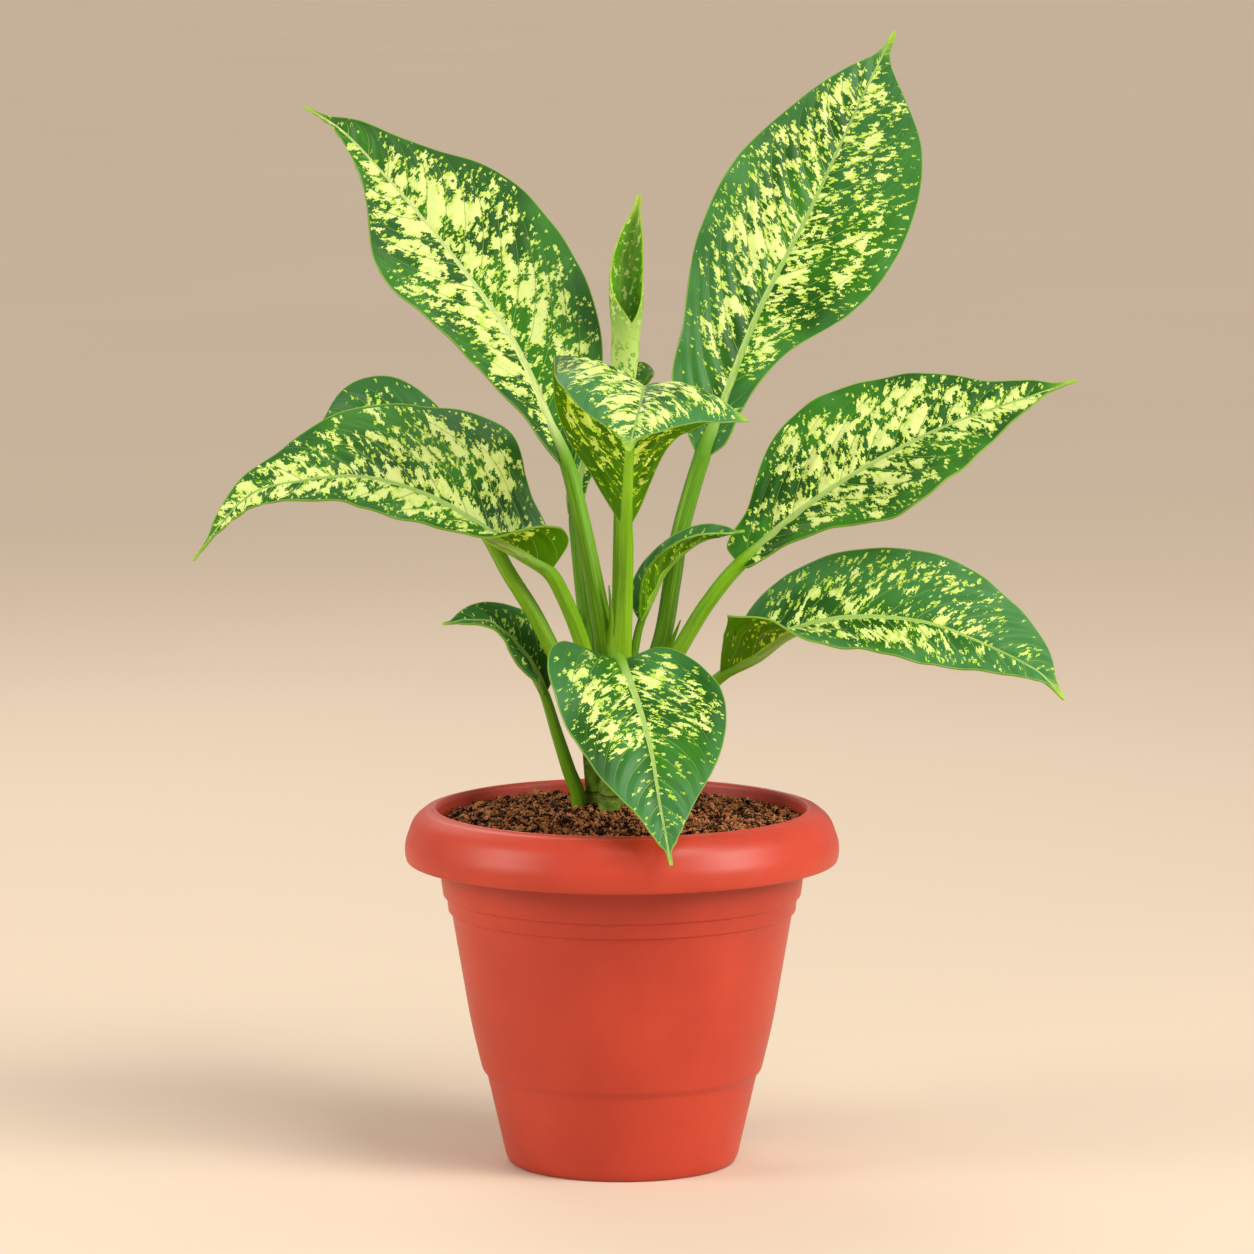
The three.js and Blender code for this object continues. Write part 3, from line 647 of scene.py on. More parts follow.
# ---------------------------------------------------------------- materials
def spotted_blade(name, looks, underside):
    """One side of a satin blade: greens with a painted sheen above and a painted glow below, cream
    splashes of small jagged cells, and its veins.
    """
    specular, coat = (0.12, 0) if underside else (0.26, 0.04)
    gloss = {"Specular IOR Level": specular, "Coat Weight": coat, "Coat Roughness": 0.2}
    shader = Shader(name, gloss)
    across, along, seed = shader.attribute("place")
    reach, travel, half = shader.attribute("share")
    cover, pale, sheen_and_stretch = shader.attribute("tone")
    start, end, hook = shader.attribute("splashes")
    away = abs(across)
    vein = along - away * (VEIN_RUN + VEIN_SWEEP * reach * reach)
    apart = seed * 17.3 + (across > 0) * 9.1
    lane = shader.maths("FRACT", vein / looks.vein_spacing + seed * VEIN_SHIFT)
    from_vein = abs(lane - 0.5)

    # Each cell, about 1.5 mm across and longer on the leaves with a larger sheen share, is cream or
    # green as a whole, which frays the splashes and leaves dots and holes around them. Scales are
    # in cells per metre.
    flow, cross = along + away, along - away
    fray_space = shader.vector(flow * 640 + 7, cross * 800 + apart, 0)
    fray = shader.noise(fray_space, 1, 1, flat=True) - 0.5
    cell_flow = flow * (640 - sheen_and_stretch * 250) + fray * 2.6 + apart * 5
    cell_space = shader.vector(cell_flow, cross * (740 + sheen_and_stretch * 200) - fray * 2.2 + apart, 0)
    middle_x, middle_y, _ = shader.parts(shader.cells(cell_space, "Position"))
    chance, hole_chance, shade_chance = shader.parts(shader.cells(cell_space, "Color"))
    large_x = middle_x / (9.5 - sheen_and_stretch * 3) + 3
    large = shader.noise(shader.vector(large_x, middle_y / 7.5, 0), 1, 1, flat=True)
    small = shader.noise(shader.vector(middle_x / 3.4 + 31, middle_y / 2.6, 0), 1, 1, flat=True)
    broad = shader.noise(shader.vector(across * 45 + apart, along * 34, 0), 1, 1, flat=True)
    begun = shader.step(travel, start, start + 0.15)
    body = shader.step(reach, 1, 0.6) * begun * shader.step(travel, end + 0.2, end)
    level = (large - 0.5) * (1.8 - sheen_and_stretch * 0.6) + (small - 0.5) * (1.2 + sheen_and_stretch * 0.5)
    level = level + (broad - 0.5) * 0.7 + (chance - 0.5) * 0.06
    level = level + body * 0.42 + cover * 0.28 - shader.step(from_vein, 0.36, 0.5) * 0.16
    level = level - (0.74 if underside else 0.63)
    dot = chance > 0.962 - 0.07 * body - (broad - 0.5) * 0.16
    hole = (hole_chance > 0.965) * (level < 0.2)
    splash = shader.maths("MAXIMUM", (level > 0) * (1 - hole), dot)
    splash = splash * (reach < 0.965) * (travel > 0.03)

    # Veins: the midrib, the side veins about a centimetre apart and very fine ones between them.
    rib_width = looks.rib_width * (0.16 + 0.84 * (1 - travel) ** 1.6)
    rib = shader.step(away, rib_width, rib_width * 0.8)
    side_vein = shader.step(from_vein, 0.474, 0.49) * shader.step(reach, 1, 0.6)
    grain = shader.noise(shader.vector(away * 90 + apart, vein * 2400, 0), 1, 2, flat=True)
    edge = shader.step(half * (1 - reach), 0.0006, 0.0003)
    tip = shader.maths("MAXIMUM", shader.step(travel, 0.92, 1), shader.step(hook, 0.25, 0.8))
    cream = splash * (1 - tip)
    wash = shader.noise(shader.vector(across * 26 + apart, along * 20, 0), 1, 2, flat=True)
    young = shader.step(level, 0.22, -0.02)

    if underside:
        # The underside's own greens and creams, lightened as a painted glow of light shining
        # through the thin leaf.
        leafy = shader.mix(wash, looks.under_dark, looks.under_light)
        splashed = shader.mix(young, looks.under_cream, looks.under_spot)
        rib_colour = looks.under_rib
    else:
        leafy = shader.mix(shader.step(wash, 0.36, 0.6), looks.green_light, looks.green)
        # Painted sheen: a pale cool reflection laid into the upper side's colour, stronger towards
        # the margin and the tip, scaled by the leaf's sheen share.
        sheen = shader.noise(shader.vector(across * 34 + apart + 9, along * 15, 0), 1, 1, flat=True)
        sheen = sheen + reach * 0.3 + shader.step(travel, 0.5, 0.9) * 0.25
        leafy = shader.mix(shader.step(sheen, 0.5, 0.85) * sheen_and_stretch, leafy, looks.sheen_green)
        splashed = shader.mix(young * 0.8 + (shade_chance - 0.4) * 0.4, looks.cream, looks.spot)
        rib_colour = shader.mix(pale, looks.rib_green, looks.rib_pale)
    leafy = shader.mix(shader.step(grain, 0.5, 0.8) * 0.35, leafy, looks.green_deep)
    splashed = shader.mix(shader.step(grain, 0.55, 0.8) * 0.3, splashed, looks.spot)
    colour = shader.mix(cream, leafy, splashed)
    colour = shader.mix(side_vein * 0.75, colour, looks.side_vein)
    colour = shader.mix(shader.maths("MAXIMUM", edge * 0.5, tip * 0.85), colour, looks.tip)
    colour = shader.mix(rib * (1 - tip), colour, rib_colour)
    roughness = 0.36 + wash * 0.14 + cream * 0.06
    height = grain * 0.2 - side_vein * 0.7 + wash * 0.8 + cream * 0.08
    return shader.finish(colour, roughness, height)


def young_blade(name, looks, outside):
    """The tender blade of the rolled leaf: pale at the bottom, fresh green with flecks above."""
    shader = Shader(name, {"Specular IOR Level": 0.5, "Coat Weight": 0.15, "Coat Roughness": 0.2})
    across, along, _ = shader.attribute("place")
    reach, travel, half = shader.attribute("share")
    streak = shader.noise(shader.vector(across * 260, along * 90, 0), 1, 3, 0.6, flat=True)
    cell_space = shader.vector(across * 1100 + streak * 2, along * 820 - streak * 2, 0)
    chance, _, _ = shader.parts(shader.cells(cell_space, "Color"))
    patch = shader.noise(shader.vector(across * 330 + 4, along * 210, 0), 1, 1, flat=True)
    level = (patch - 0.5) * 1.4 + (chance - 0.5) * 0.5
    if outside:
        leafy = shader.mix(shader.step(travel, 0.15, 0.6), looks.young_pale, looks.young)
        splash = shader.step(level, 0.16, 0.18)
        splashed = shader.mix(shader.step(travel, 0.2, 0.5), looks.young_mark, looks.cream)
        colour = shader.mix(splash * 0.9, leafy, splashed)
    else:
        colour = shader.mix(shader.step(level, 0.26, 0.28) * 0.8, looks.young, looks.cream)
    colour = shader.mix(shader.step(streak, 0.45, 0.7) * 0.35, colour, looks.stalk_line)
    rim = shader.step(half * (1 - reach), 0.0008, 0.0003)
    tip = shader.maths("MAXIMUM", rim * 0.8, shader.step(travel, 0.85, 1))
    colour = shader.mix(tip, colour, looks.tip)
    return shader.finish(colour, 0.36 + streak * 0.1, streak, 0.0003)


def stalk_skin(looks):
    """The smooth fibrous skin of a leaf stalk, which runs on into the raised midrib."""
    gloss = {"Specular IOR Level": 0.28, "Coat Weight": 0.05, "Coat Roughness": 0.2}
    shader = Shader("stalk skin", gloss)
    around, along, travel = shader.attribute("stem")
    _, pale, dark = shader.attribute("tone")
    turn = around * math.tau
    ring_x, ring_y = shader.maths("COSINE", turn), shader.maths("SINE", turn)
    fibre = shader.noise(shader.vector(ring_x * 6, ring_y * 6, along * 22), 1, 3, 0.6)
    blush = shader.noise(shader.vector(ring_x * 1.3, ring_y * 1.3, along * 26), 1, 2)
    colour = shader.mix(shader.step(travel, 0, 0.8), looks.stalk_base, looks.stalk)
    # Each stalk is darkened by its shade value: partly its own darker green, partly painted shade
    # on the stalks set back in the clump.
    colour = shader.mix(dark, colour, looks.stalk_dark)
    plain = shader.step(abs(travel - 1), 0, 0.08)
    colour = shader.mix(shader.step(fibre, 0.48, 0.66) * plain * 0.35, colour, looks.stalk_line)
    colour = shader.mix(shader.step(blush, 0.5, 0.75) * plain * 0.35, colour, looks.stalk_dark)
    upper = shader.mix(pale, looks.rib_green, looks.rib_pale)
    ribbed = shader.mix(shader.step(ring_y, -0.5, 0.2), looks.under_rib, upper)
    colour = shader.mix(shader.step(travel, 1, 1.14), colour, ribbed)
    return shader.finish(colour, 0.34 + fibre * 0.14, fibre, 0.0006)


def cane_skin(looks):
    """Dull green bark with brown rings where old leaves were shed."""
    shader = Shader("cane skin", {"Specular IOR Level": 0.35})
    _, along, _ = shader.attribute("stem")
    ring = abs(shader.maths("FRACT", along / 0.016) - 0.5)
    blotch = shader.noise(shader.object_place(), 210, 4, 0.6)
    scar = shader.step(ring + (blotch - 0.5) * 0.1, 0.4, 0.47)
    colour = shader.mix(shader.step(blotch, 0.35, 0.65), looks.cane_green, looks.cane_dark)
    colour = shader.mix(scar * 0.45, colour, looks.cane_scar)
    return shader.finish(colour, 0.5 + blotch * 0.25, blotch * 0.4 - scar, 0.0006)


def pot_plastic(colours):
    """Satin moulded plastic with a faint mottle and a very fine grain."""
    gloss = {"Specular IOR Level": 0.42, "Coat Weight": 0.06, "Coat Roughness": 0.35}
    shader = Shader("pot plastic", gloss)
    place = shader.object_place()
    mottle = shader.noise(place, 22, 3, 0.55)
    grain = shader.noise(place, 1500, 2)
    scuff = shader.step(shader.noise(place, 120, 5, 0.7), 0.6, 0.75)
    colour = shader.mix(shader.step(mottle, 0.3, 0.7), colours.pot_dark, colours.pot)
    colour = shader.mix(scuff * 0.1, colour, colours.pot_light)
    roughness = 0.4 + mottle * 0.08 + scuff * 0.06
    return shader.finish(colour, roughness, grain * 0.2 + mottle * 0.3, 0.0001)


def potting_mix(colours):
    """Dark crumbly soil, painted darker in the clefts of its bed and lighter on its raised tops,
    each crumb with a shade of its own, and paler bits of bark and fibre.
    """
    shader = Shader("potting mix", {"Specular IOR Level": 0.1})
    tint_and_shade, pick, _ = shader.attribute("crumb")
    place = shader.object_place()
    fine = shader.noise(place, 1200, 3, 0.7)
    clod = shader.noise(place, 160, 3, 0.6)
    # On the bed the first crumb value follows the relief, painting shade into the clefts and light
    # onto the raised tops; on the loose crumbs it is a random tint of each crumb.
    light = clod * 0.2 + fine * 0.6 + tint_and_shade * 0.45
    colour = shader.mix(shader.step(light, 0.56, 0.71), colours.soil_dark_and_shade, colours.soil)
    colour = shader.mix(shader.step(fine + tint_and_shade * 0.3, 0.6, 0.78), colour, colours.soil_dust_and_light)
    colour = shader.mix(shader.step(pick, 0.93, 0.96) * 0.6, colour, colours.soil_bark)
    return shader.finish(colour, 0.82 + fine * 0.15, fine + clod, 0.0009)


# ---------------------------------------------------------------- settings
def length(name, description, default):
    """A setting in metres."""
    settings = {"default": default, "unit": "LENGTH", "min": 0}
    return bpy.props.FloatProperty(name=name, description=description, **settings)


def colour(name, description, default):
    """A setting for a colour, in linear values."""
    settings = {"default": default, "subtype": "COLOR", "size": 3, "min": 0, "max": 1}
    return bpy.props.FloatVectorProperty(name=name, description=description, **settings)


POT_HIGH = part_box("pot")[1]


class PotSettings(bpy.types.PropertyGroup):
    """Sizes and colours of the pot and of what fills it."""

    collar_radius: length("Collar radius", "Outside of the rolled collar", round(POT_HIGH[0], 4))
    rim_height: length("Rim height", "Top of the rim above the floor", round(POT_HIGH[2], 4))
    foot_radius: length("Foot radius", "Outside of the pot where it stands", 0.052)
    step_radius: length("Step radius", "Top of the narrow foot part", 0.0625)
    step_height: length("Step height", "Height of the narrow foot part", 0.041)
    band_radius: length("Band radius", "Side of the pot where the bulging band starts", 0.0789)
    band_height: length("Band height", "Start of the bulging band", 0.117)
    neck_radius: length("Neck radius", "Side of the pot above the band", 0.0835)
    wall: length("Wall", "Thickness of the plastic", 0.0024)
    turns: bpy.props.IntProperty(
        name="Turns", description="Faces round the pot", default=192, min=16
    )
    soil_top: length("Soil top", "Crest of the mounded soil", 0.164)
    soil_edge: length("Soil edge", "Height of the soil at the wall", 0.16)
    clump_height: length("Clump height", "Rise of the soil's larger clumps", 0.0022)
    crumb_size: length("Crumb size", "Radius of a middling crumb", 0.00072)
    crumbs: bpy.props.IntProperty(
        name="Crumbs", description="Loose crumbs on the soil", default=5200, min=0
    )
    pot: colour("Pot", "Plastic where it is lightest", paint(195, 62, 37))
    pot_dark: colour("Pot shade", "Plastic where it is darkest", paint(184, 55, 33))
    pot_light: colour("Pot scuffs", "Faint rubbed spots", paint(224, 96, 70))
    soil: colour("Soil", "Most of the crumbs", paint(104, 54, 22))
    # Soil shade is partly darker soil and partly painted shade in the clefts of the bed; soil dust
    # is partly paler flecks of soil and partly painted light on the bed's raised tops.
    soil_dark_and_shade: colour("Soil shade", "Damp soil between the crumbs", paint(14, 5, 0))
    soil_dust_and_light: colour("Soil dust", "Dry edges of the crumbs", paint(196, 128, 80))
    soil_bark: colour("Bark", "Pale bits in the soil", paint(184, 128, 88))


class PlantSettings(bpy.types.PropertyGroup):
    """Sizes and colours of the leaves and stalks."""

    blade: length("Blade", "Thickness of a leaf blade", 0.0009)
    rib_width: length("Midrib", "Half-width of the midrib at the base", 0.0024)
    vein_spacing: length("Vein spacing", "Distance between two side veins", 0.0135)
    quilt: length("Quilting", "Height of the blade between its side veins", 0.0007)
    green: colour("Green", "Upper side of the leaves", paint(24, 82, 2))
    green_light: colour("Light green", "Lighter stretches of the upper side", paint(48, 118, 8))
    green_deep: colour("Deep green", "Fine dark lines along the veins", paint(14, 64, 10))
    # Painted sheen: the pale cool reflection laid on the leaves' upper sides towards the margins
    # and tips.
    sheen_green: colour("Margin green", "Cooler stretches near the margin", paint(62, 126, 62))
    cream: colour("Cream", "Middle of the large splashes", paint(218, 234, 146))
    spot: colour("Spots", "Small spots and rims of the splashes", paint(178, 214, 58))
    side_vein: colour("Side veins", "Thin lines of the side veins", paint(148, 190, 84))
    rib_pale: colour("Pale midrib", "Midrib of the palest leaves", paint(206, 222, 140))
    rib_green: colour("Green midrib", "Midrib of the greenest leaves", paint(116, 172, 56))
    tip: colour("Tip", "Tips and the thin line round the margin", paint(160, 198, 56))
    # The underside colours are the leaf's own, lightened as a painted glow of light shining through
    # the thin blade.
    under_dark: colour("Underside shade", "Darker stretches of the underside", paint(60, 112, 0))
    under_light: colour("Underside", "Lighter stretches of the underside", paint(92, 148, 2))
    under_spot: colour("Underside spots", "Small spots on the underside", paint(196, 236, 24))
    under_cream: colour("Underside cream", "Splashes on the underside", paint(226, 252, 116))
    under_rib: colour("Underside midrib", "Raised midrib below", paint(146, 202, 34))
    young: colour("Young leaf", "Green of the rolled leaf", paint(84, 152, 20))
    young_pale: colour("Young leaf base", "Pale lower part of that leaf", paint(186, 214, 112))
    young_mark: colour("Young leaf marks", "Green marks on its pale part", paint(96, 150, 40))
    stalk: colour("Stalk", "Upper end of the stalks", paint(122, 180, 6))
    stalk_base: colour("Stalk base", "Lower end of the stalks", paint(142, 188, 14))
    stalk_line: colour("Stalk lines", "Pale fibres along the stalks", paint(170, 212, 50))
    # Stalk shade darkens random stretches of every stalk, and whole stalks by their shade value,
    # which is partly painted shade.
    stalk_dark: colour("Stalk shade", "Darker stretches of the stalks", paint(74, 132, 10))
    cane_green: colour("Cane", "Green bark", paint(118, 152, 26))
    cane_dark: colour("Cane shade", "Darker bark", paint(74, 106, 12))
    cane_scar: colour("Cane rings", "Rings left by old leaves", paint(96, 78, 32))


class StageSettings(bpy.types.PropertyGroup):
    """The floor, the lights and the camera."""

    floor: colour("Floor", "Plain floor", paint(218, 200, 180))
    floor_radius: length("Floor radius", "Size of the round floor", 30)
    surround: colour("Surround", "Pale room around the floor", paint(238, 230, 218))
    surround_strength: bpy.props.FloatProperty(
        name="Surround strength", description="Brightness of the room", default=0.5, min=0
    )
    key_strength: bpy.props.FloatProperty(
        name="Key strength", description="Brightness of the main light", default=1.5, min=0
    )
    camera_distance: length("Camera distance", "From the pot's axis to the camera", 2.962)
    camera_height: length("Camera height", "Camera above the floor", 0.632)
    camera_aside: length("Camera aside", "Camera to the right of the pot's axis", 0.0023)
    camera_tilt: bpy.props.FloatProperty(
        name="Camera tilt",
        description="How far the camera looks down",
        default=math.radians(7.37),
        unit="ROTATION",
    )
    lens: bpy.props.FloatProperty(
        name="Lens", description="Focal length in millimetres", default=186.6, min=1
    )


# ---------------------------------------------------------------- pot
CORNER_POINTS = 6  # on each rounded corner of the section
# The drain holes in the floor: their number, their distance from the axis and their radius.
DRAIN_HOLES, DRAIN_RING, DRAIN_RADIUS = 6, 0.034, 0.0045


def rounded(outline):
    """An outline of (radius, height, rounding) with a curve in place of each rounded corner."""
    corners = [Vector((r, z)) for r, z, _ in outline]
    points = []
    for i, (here, (_, _, rounding)) in enumerate(zip(corners, outline)):
        if not rounding:
            points.append(here)
            continue
        back, ahead = (corners[i - 1] - here), (corners[i + 1] - here)
        reach = min(rounding, 0.48 * back.length, 0.48 * ahead.length)
        start, end = here + back.normalized() * reach, here + ahead.normalized() * reach
        for k in range(CORNER_POINTS):
            t = k / (CORNER_POINTS - 1)
            points.append(start * (1 - t) ** 2 + here * 2 * t * (1 - t) + end * t * t)
    return points


def pot_outline(pot):
    """Half of the pot's section, from its foot up the outside and back down to its floor."""
    collar, rim, neck, wall = pot.collar_radius, pot.rim_height, pot.neck_radius, pot.wall
    foot, step, step_z = pot.foot_radius, pot.step_radius, pot.step_height
    band, band_z = pot.band_radius, pot.band_height
    side_z = step_z + 0.024
    return [
        # The narrow foot part and the tall side above it.
        (foot, 0, 0.0012),
        (foot + 0.0018, 0.003, 0.002),
        (step, step_z, 0.0012),
        (step + 0.0022, step_z + 0.0024, 0.002),
        (step + 0.0074, side_z, 0.01),
        # The bulging band and the neck.
        (band - 0.0002, band_z, 0.0004),
        (band + 0.0013, band_z + 0.0006, 0.0006),
        (band + 0.002, band_z + 0.0072, 0.0004),
        (band + 0.0036, band_z + 0.0078, 0.0006),
        (neck, band_z + 0.014, 0.003),
        (neck + 0.0008, rim - 0.0125, 0.003),
        # The hollow under the collar, the collar's outside and the rim.
        (neck + 0.005, rim - 0.006, 0.003),
        (neck + 0.0105, rim - 0.0095, 0.004),
        (collar - 0.0032, rim - 0.0165, 0.004),
        (collar - 0.0032, rim - 0.0245, 0.0008),
        (collar - 0.0006, rim - 0.0245, 0.0012),
        (collar + 0.0002, rim - 0.021, 0.003),
        (collar + 0.0001, rim - 0.016, 0.006),
        (collar - 0.0035, rim - 0.0055, 0.007),
        (collar - 0.0095, rim - 0.0008, 0.004),
        (collar - 0.0122, rim - 0.0008, 0.0006),
        (collar - 0.0128, rim, 0.0006),
        (collar - 0.0142, rim, 0.0008),
        (collar - 0.0152, rim - 0.0016, 0.001),
        # The inside, down to the floor.
        (neck - wall, band_z + 0.014, 0.004),
        (band - wall, band_z, 0.002),
        (step + 0.0074 - wall, side_z, 0.01),
        (step + 0.0022 - wall, step_z + 0.0034, 0.002),
        (step - wall, step_z, 0.002),
        (foot - 0.0002, wall + 0.003, 0.002),
        (foot - 0.0044, wall, 0.002),
        (0.002, wall, 0),
    ]


def extrude_ring(radius, height, next_radius, next_height):
    """Carries the selected ring on to the next point of an outline."""
    bpy.ops.mesh.extrude_region_move(TRANSFORM_OT_translate={"value": (0, 0, next_height - height)})
    scale = next_radius / radius
    bpy.ops.transform.resize(value=(scale, scale, 1), center_override=(0, 0, next_height))


def drill(piece, places, radius, depth):
    """Cuts round holes down through a piece."""
    cutters = []
    for x, y in places:
        deselect()
        bpy.ops.mesh.primitive_cylinder_add(
            vertices=32, radius=radius, depth=depth, location=(x, y, 0)
        )
        cutters.append(bpy.context.active_object)
    cutter = join(cutters)
    apply_modifier(piece, "BOOLEAN", operation="DIFFERENCE", object=cutter, solver="EXACT")
    bpy.data.objects.remove(cutter)


class PLANT_OT_pot(bpy.types.Operator):
    """Turn the pot from its section and drill its drain holes"""

    bl_idname = "plant.make_pot"
    bl_label = "Pot"

    def execute(self, context):
        pot = context.scene.plant_pot
        points = rounded(pot_outline(pot))
        deselect()
        bpy.ops.mesh.primitive_circle_add(
            vertices=pot.turns, radius=points[0][0], fill_type="TRIFAN"
        )
        piece = context.active_object
        piece.name = "pot_body"
        bpy.ops.object.mode_set(mode="EDIT")
        select_open_edges()
        for here, ahead in zip(points, points[1:]):
            extrude_ring(here[0], here[1], ahead[0], ahead[1])
        bpy.ops.mesh.edge_face_add()
        face_outward()
        bpy.ops.object.mode_set(mode="OBJECT")
        angles = [math.tau * (i + 0.5) / DRAIN_HOLES for i in range(DRAIN_HOLES)]
        places = [(DRAIN_RING * math.cos(a), DRAIN_RING * math.sin(a)) for a in angles]
        drill(piece, places, DRAIN_RADIUS, depth=0.01)
        smooth_shade(piece, 40)
        dress(piece, "pot", [pot_plastic(pot)])
        return {"FINISHED"}


# ---------------------------------------------------------------- soil
SOIL_RADIUS = 0.0826  # where the bed meets the wall
CRUMB_SHAPES = 6
HEAPS, HEAP_SPREAD = 90, 0.0022  # small heaps of crumbs, and how far they spread


def soil_height(pot, x, y):
    """The height of the mound with its clumps, and of the rough crumbly surface on top of it."""
    inward = max(0, 1 - math.hypot(x, y) / SOIL_RADIUS)
    mound = pot.soil_edge + (pot.soil_top - pot.soil_edge) * math.sin(min(1, inward) * math.pi / 2)
    broad = math.sin(x / 0.0046 + 1.3) * math.cos(y / 0.0046 - 0.4)
    broad += 0.5 * math.sin((x + y) / 0.009)
    small = math.sin(x / 0.0024 - y / 0.0031) * math.cos(y / 0.0022 + x / 0.0043)
    clumps = pot.clump_height * (0.45 * broad + 0.3 * small) * min(1, 6 * inward)
    place = Vector((x, y, 0))
    rough = noise.fractal(place * 190, 0.7, 2.1, 3) * 0.0006
    crumbs = (0.45 - noise.voronoi(place * 560)[0][0]) * 0.0017
    return mound + clumps - 0.0004, rough + crumbs


def add_crumb_shapes():
    """The rough lumps that every crumb is a copy of."""
    shapes = []
    for k in range(CRUMB_SHAPES):
        deselect()
        bpy.ops.mesh.primitive_ico_sphere_add(subdivisions=2, radius=1)
        shape = bpy.context.active_object
        for vertex in shape.data.vertices:
            push = noise.noise(vertex.co * 1.4 + Vector((k * 5.1, 0, 0))) * 0.7
            vertex.co *= 1 + push
        apply_modifier(shape, "DECIMATE", ratio=0.4)
        shapes.append(shape)
    return shapes


class PLANT_OT_soil(bpy.types.Operator):
    """Fill the pot with crumbly soil and strew loose crumbs over it"""

    bl_idname = "plant.make_soil"
    bl_label = "Soil"

    def execute(self, context):
        pot = context.scene.plant_pot
        piece = add_grid("soil_bed", 480, 110)
        turn, inward = grid_shares(piece)
        radius = SOIL_RADIUS * (1 - inward)
        x, y = radius * np.cos(turn * math.tau), radius * np.sin(turn * math.tau)
        x, y = np.round(x, 7), np.round(y, 7)
        bed, relief = np.transpose([soil_height(pot, px, py) for px, py in zip(x, y)])
        place_vertices(piece, np.stack([x, y, bed + relief], -1))
        # The bed's first crumb value follows its relief, so the soil is painted darker in the
        # clefts (painted shade) and lighter on the raised tops (painted light).
        add_attribute(piece, "crumb", np.clip(0.4 + relief * 700, 0, 1), 0, 0)
        down = {"value": (0, 0, -0.03)}
        edit(
            piece,
            weld,
            select_open_edges,
            lambda: bpy.ops.mesh.extrude_region_move(TRANSFORM_OT_translate=down),
            lambda: bpy.ops.transform.resize(value=(0.97, 0.97, 1), center_override=(0, 0, 0.13)),
            lambda: bpy.ops.mesh.edge_face_add(),
            face_outward,
        )
        smooth_shade(piece, 70)
        soil = potting_mix(pot)
        dress(piece, "soil", [soil])
        crumbs = self.strew(pot)
        crumbs.data.materials.append(soil)
        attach(crumbs, "root")
        return {"FINISHED"}

    def strew(self, pot):
        """Copies of the crumb shapes, scattered over the bed and heaped in places, as one piece."""
        draw = np.random.default_rng(7)
        shapes = add_crumb_shapes()
        lumps = [np.array([v.co for v in s.data.vertices]) for s in shapes]
        heaps = (draw.random((HEAPS, 2)) - 0.5) * 2 * SOIL_RADIUS
        copies = []
        while len(copies) < pot.crumbs:
            x, y = (draw.random(2) - 0.5) * 2 * SOIL_RADIUS
            raised = 0.25  # of the crumb's own size at most, and more on a heap
            if draw.random() < 0.4:
                x, y = heaps[draw.integers(HEAPS)] + draw.normal(0, HEAP_SPREAD, 2)
                raised = 1.2
            if math.hypot(x, y) > SOIL_RADIUS - 0.0015:
                continue
            kind = draw.integers(len(shapes))
            size = pot.crumb_size * min(1.9, math.exp(draw.normal(0, 0.4)))
            stretch = draw.uniform(0.6, 1.4, 3) * size
            turn = np.linalg.qr(draw.normal(size=(3, 3)))[0]
            turn *= np.sign(np.linalg.det(turn))
            middle = np.array([x, y, sum(soil_height(pot, x, y)) + size * draw.uniform(0, raised)])
            copy = shapes[kind].copy()
            copy.data = shapes[kind].data.copy()
            place_vertices(copy, lumps[kind] * stretch @ turn.T + middle)
            add_attribute(copy, "crumb", draw.random(), draw.random(), 0)
            link(copy)
            copies.append(copy)
        piece = join(copies)
        piece.name = "soil_crumbs"
        for shape in shapes:
            bpy.data.objects.remove(shape)
        smooth_shade(piece, 40)
        return piece


# ---------------------------------------------------------------- canes and stalks
def add_tube(name, path, start, end, radii, sides, steps, groove=0.0, tone=(0, 0, 0)):
    """A tube along a path between two shares of it, with an optional groove down its front."""
    piece = add_grid(name, sides, steps)
    around, travel = grid_shares(piece)
    middle, along = path.at(start + (end - start) * travel)
    side = unit(np.cross((0, 1, 0), along))
    front = np.cross(along, side)
    angle = around * math.tau
    radius = evenly(radii, travel) * MM
    # A little ridged all round, and grooved in front towards its foot.
    ridges = 0.018 * np.cos(5 * angle) + 0.012 * np.cos(9 * angle + 1)
    dip = groove * np.exp(-(((around - 0.75) / 0.05) ** 2)) * (1 - ease(travel / 0.7))
    radius = radius * (1 + ridges - dip)
    spoke = side * np.cos(angle)[:, None] + front * np.sin(angle)[:, None]
    place_vertices(piece, middle + spoke * radius[:, None])
    distance = (start + (end - start) * travel) * path.length
    add_attribute(piece, "stem", around, distance, travel)
    add_attribute(piece, "tone", *tone)
    close_tube(piece)
    return piece


class PLANT_OT_canes(bpy.types.Operator):
    """Grow the two short canes out of the soil"""

    bl_idname = "plant.make_canes"
    bl_label = "Canes"

    def execute(self, context):
        skin = cane_skin(context.scene.plant_looks)
        for name, cane in CANES.items():
            piece = add_tube("bark_" + name, Path(cane["path"]), 0, 1, cane["radius"], 28, 60)
            smooth_shade(piece)
            dress(piece, "cane_" + name, [skin])
        return {"FINISHED"}


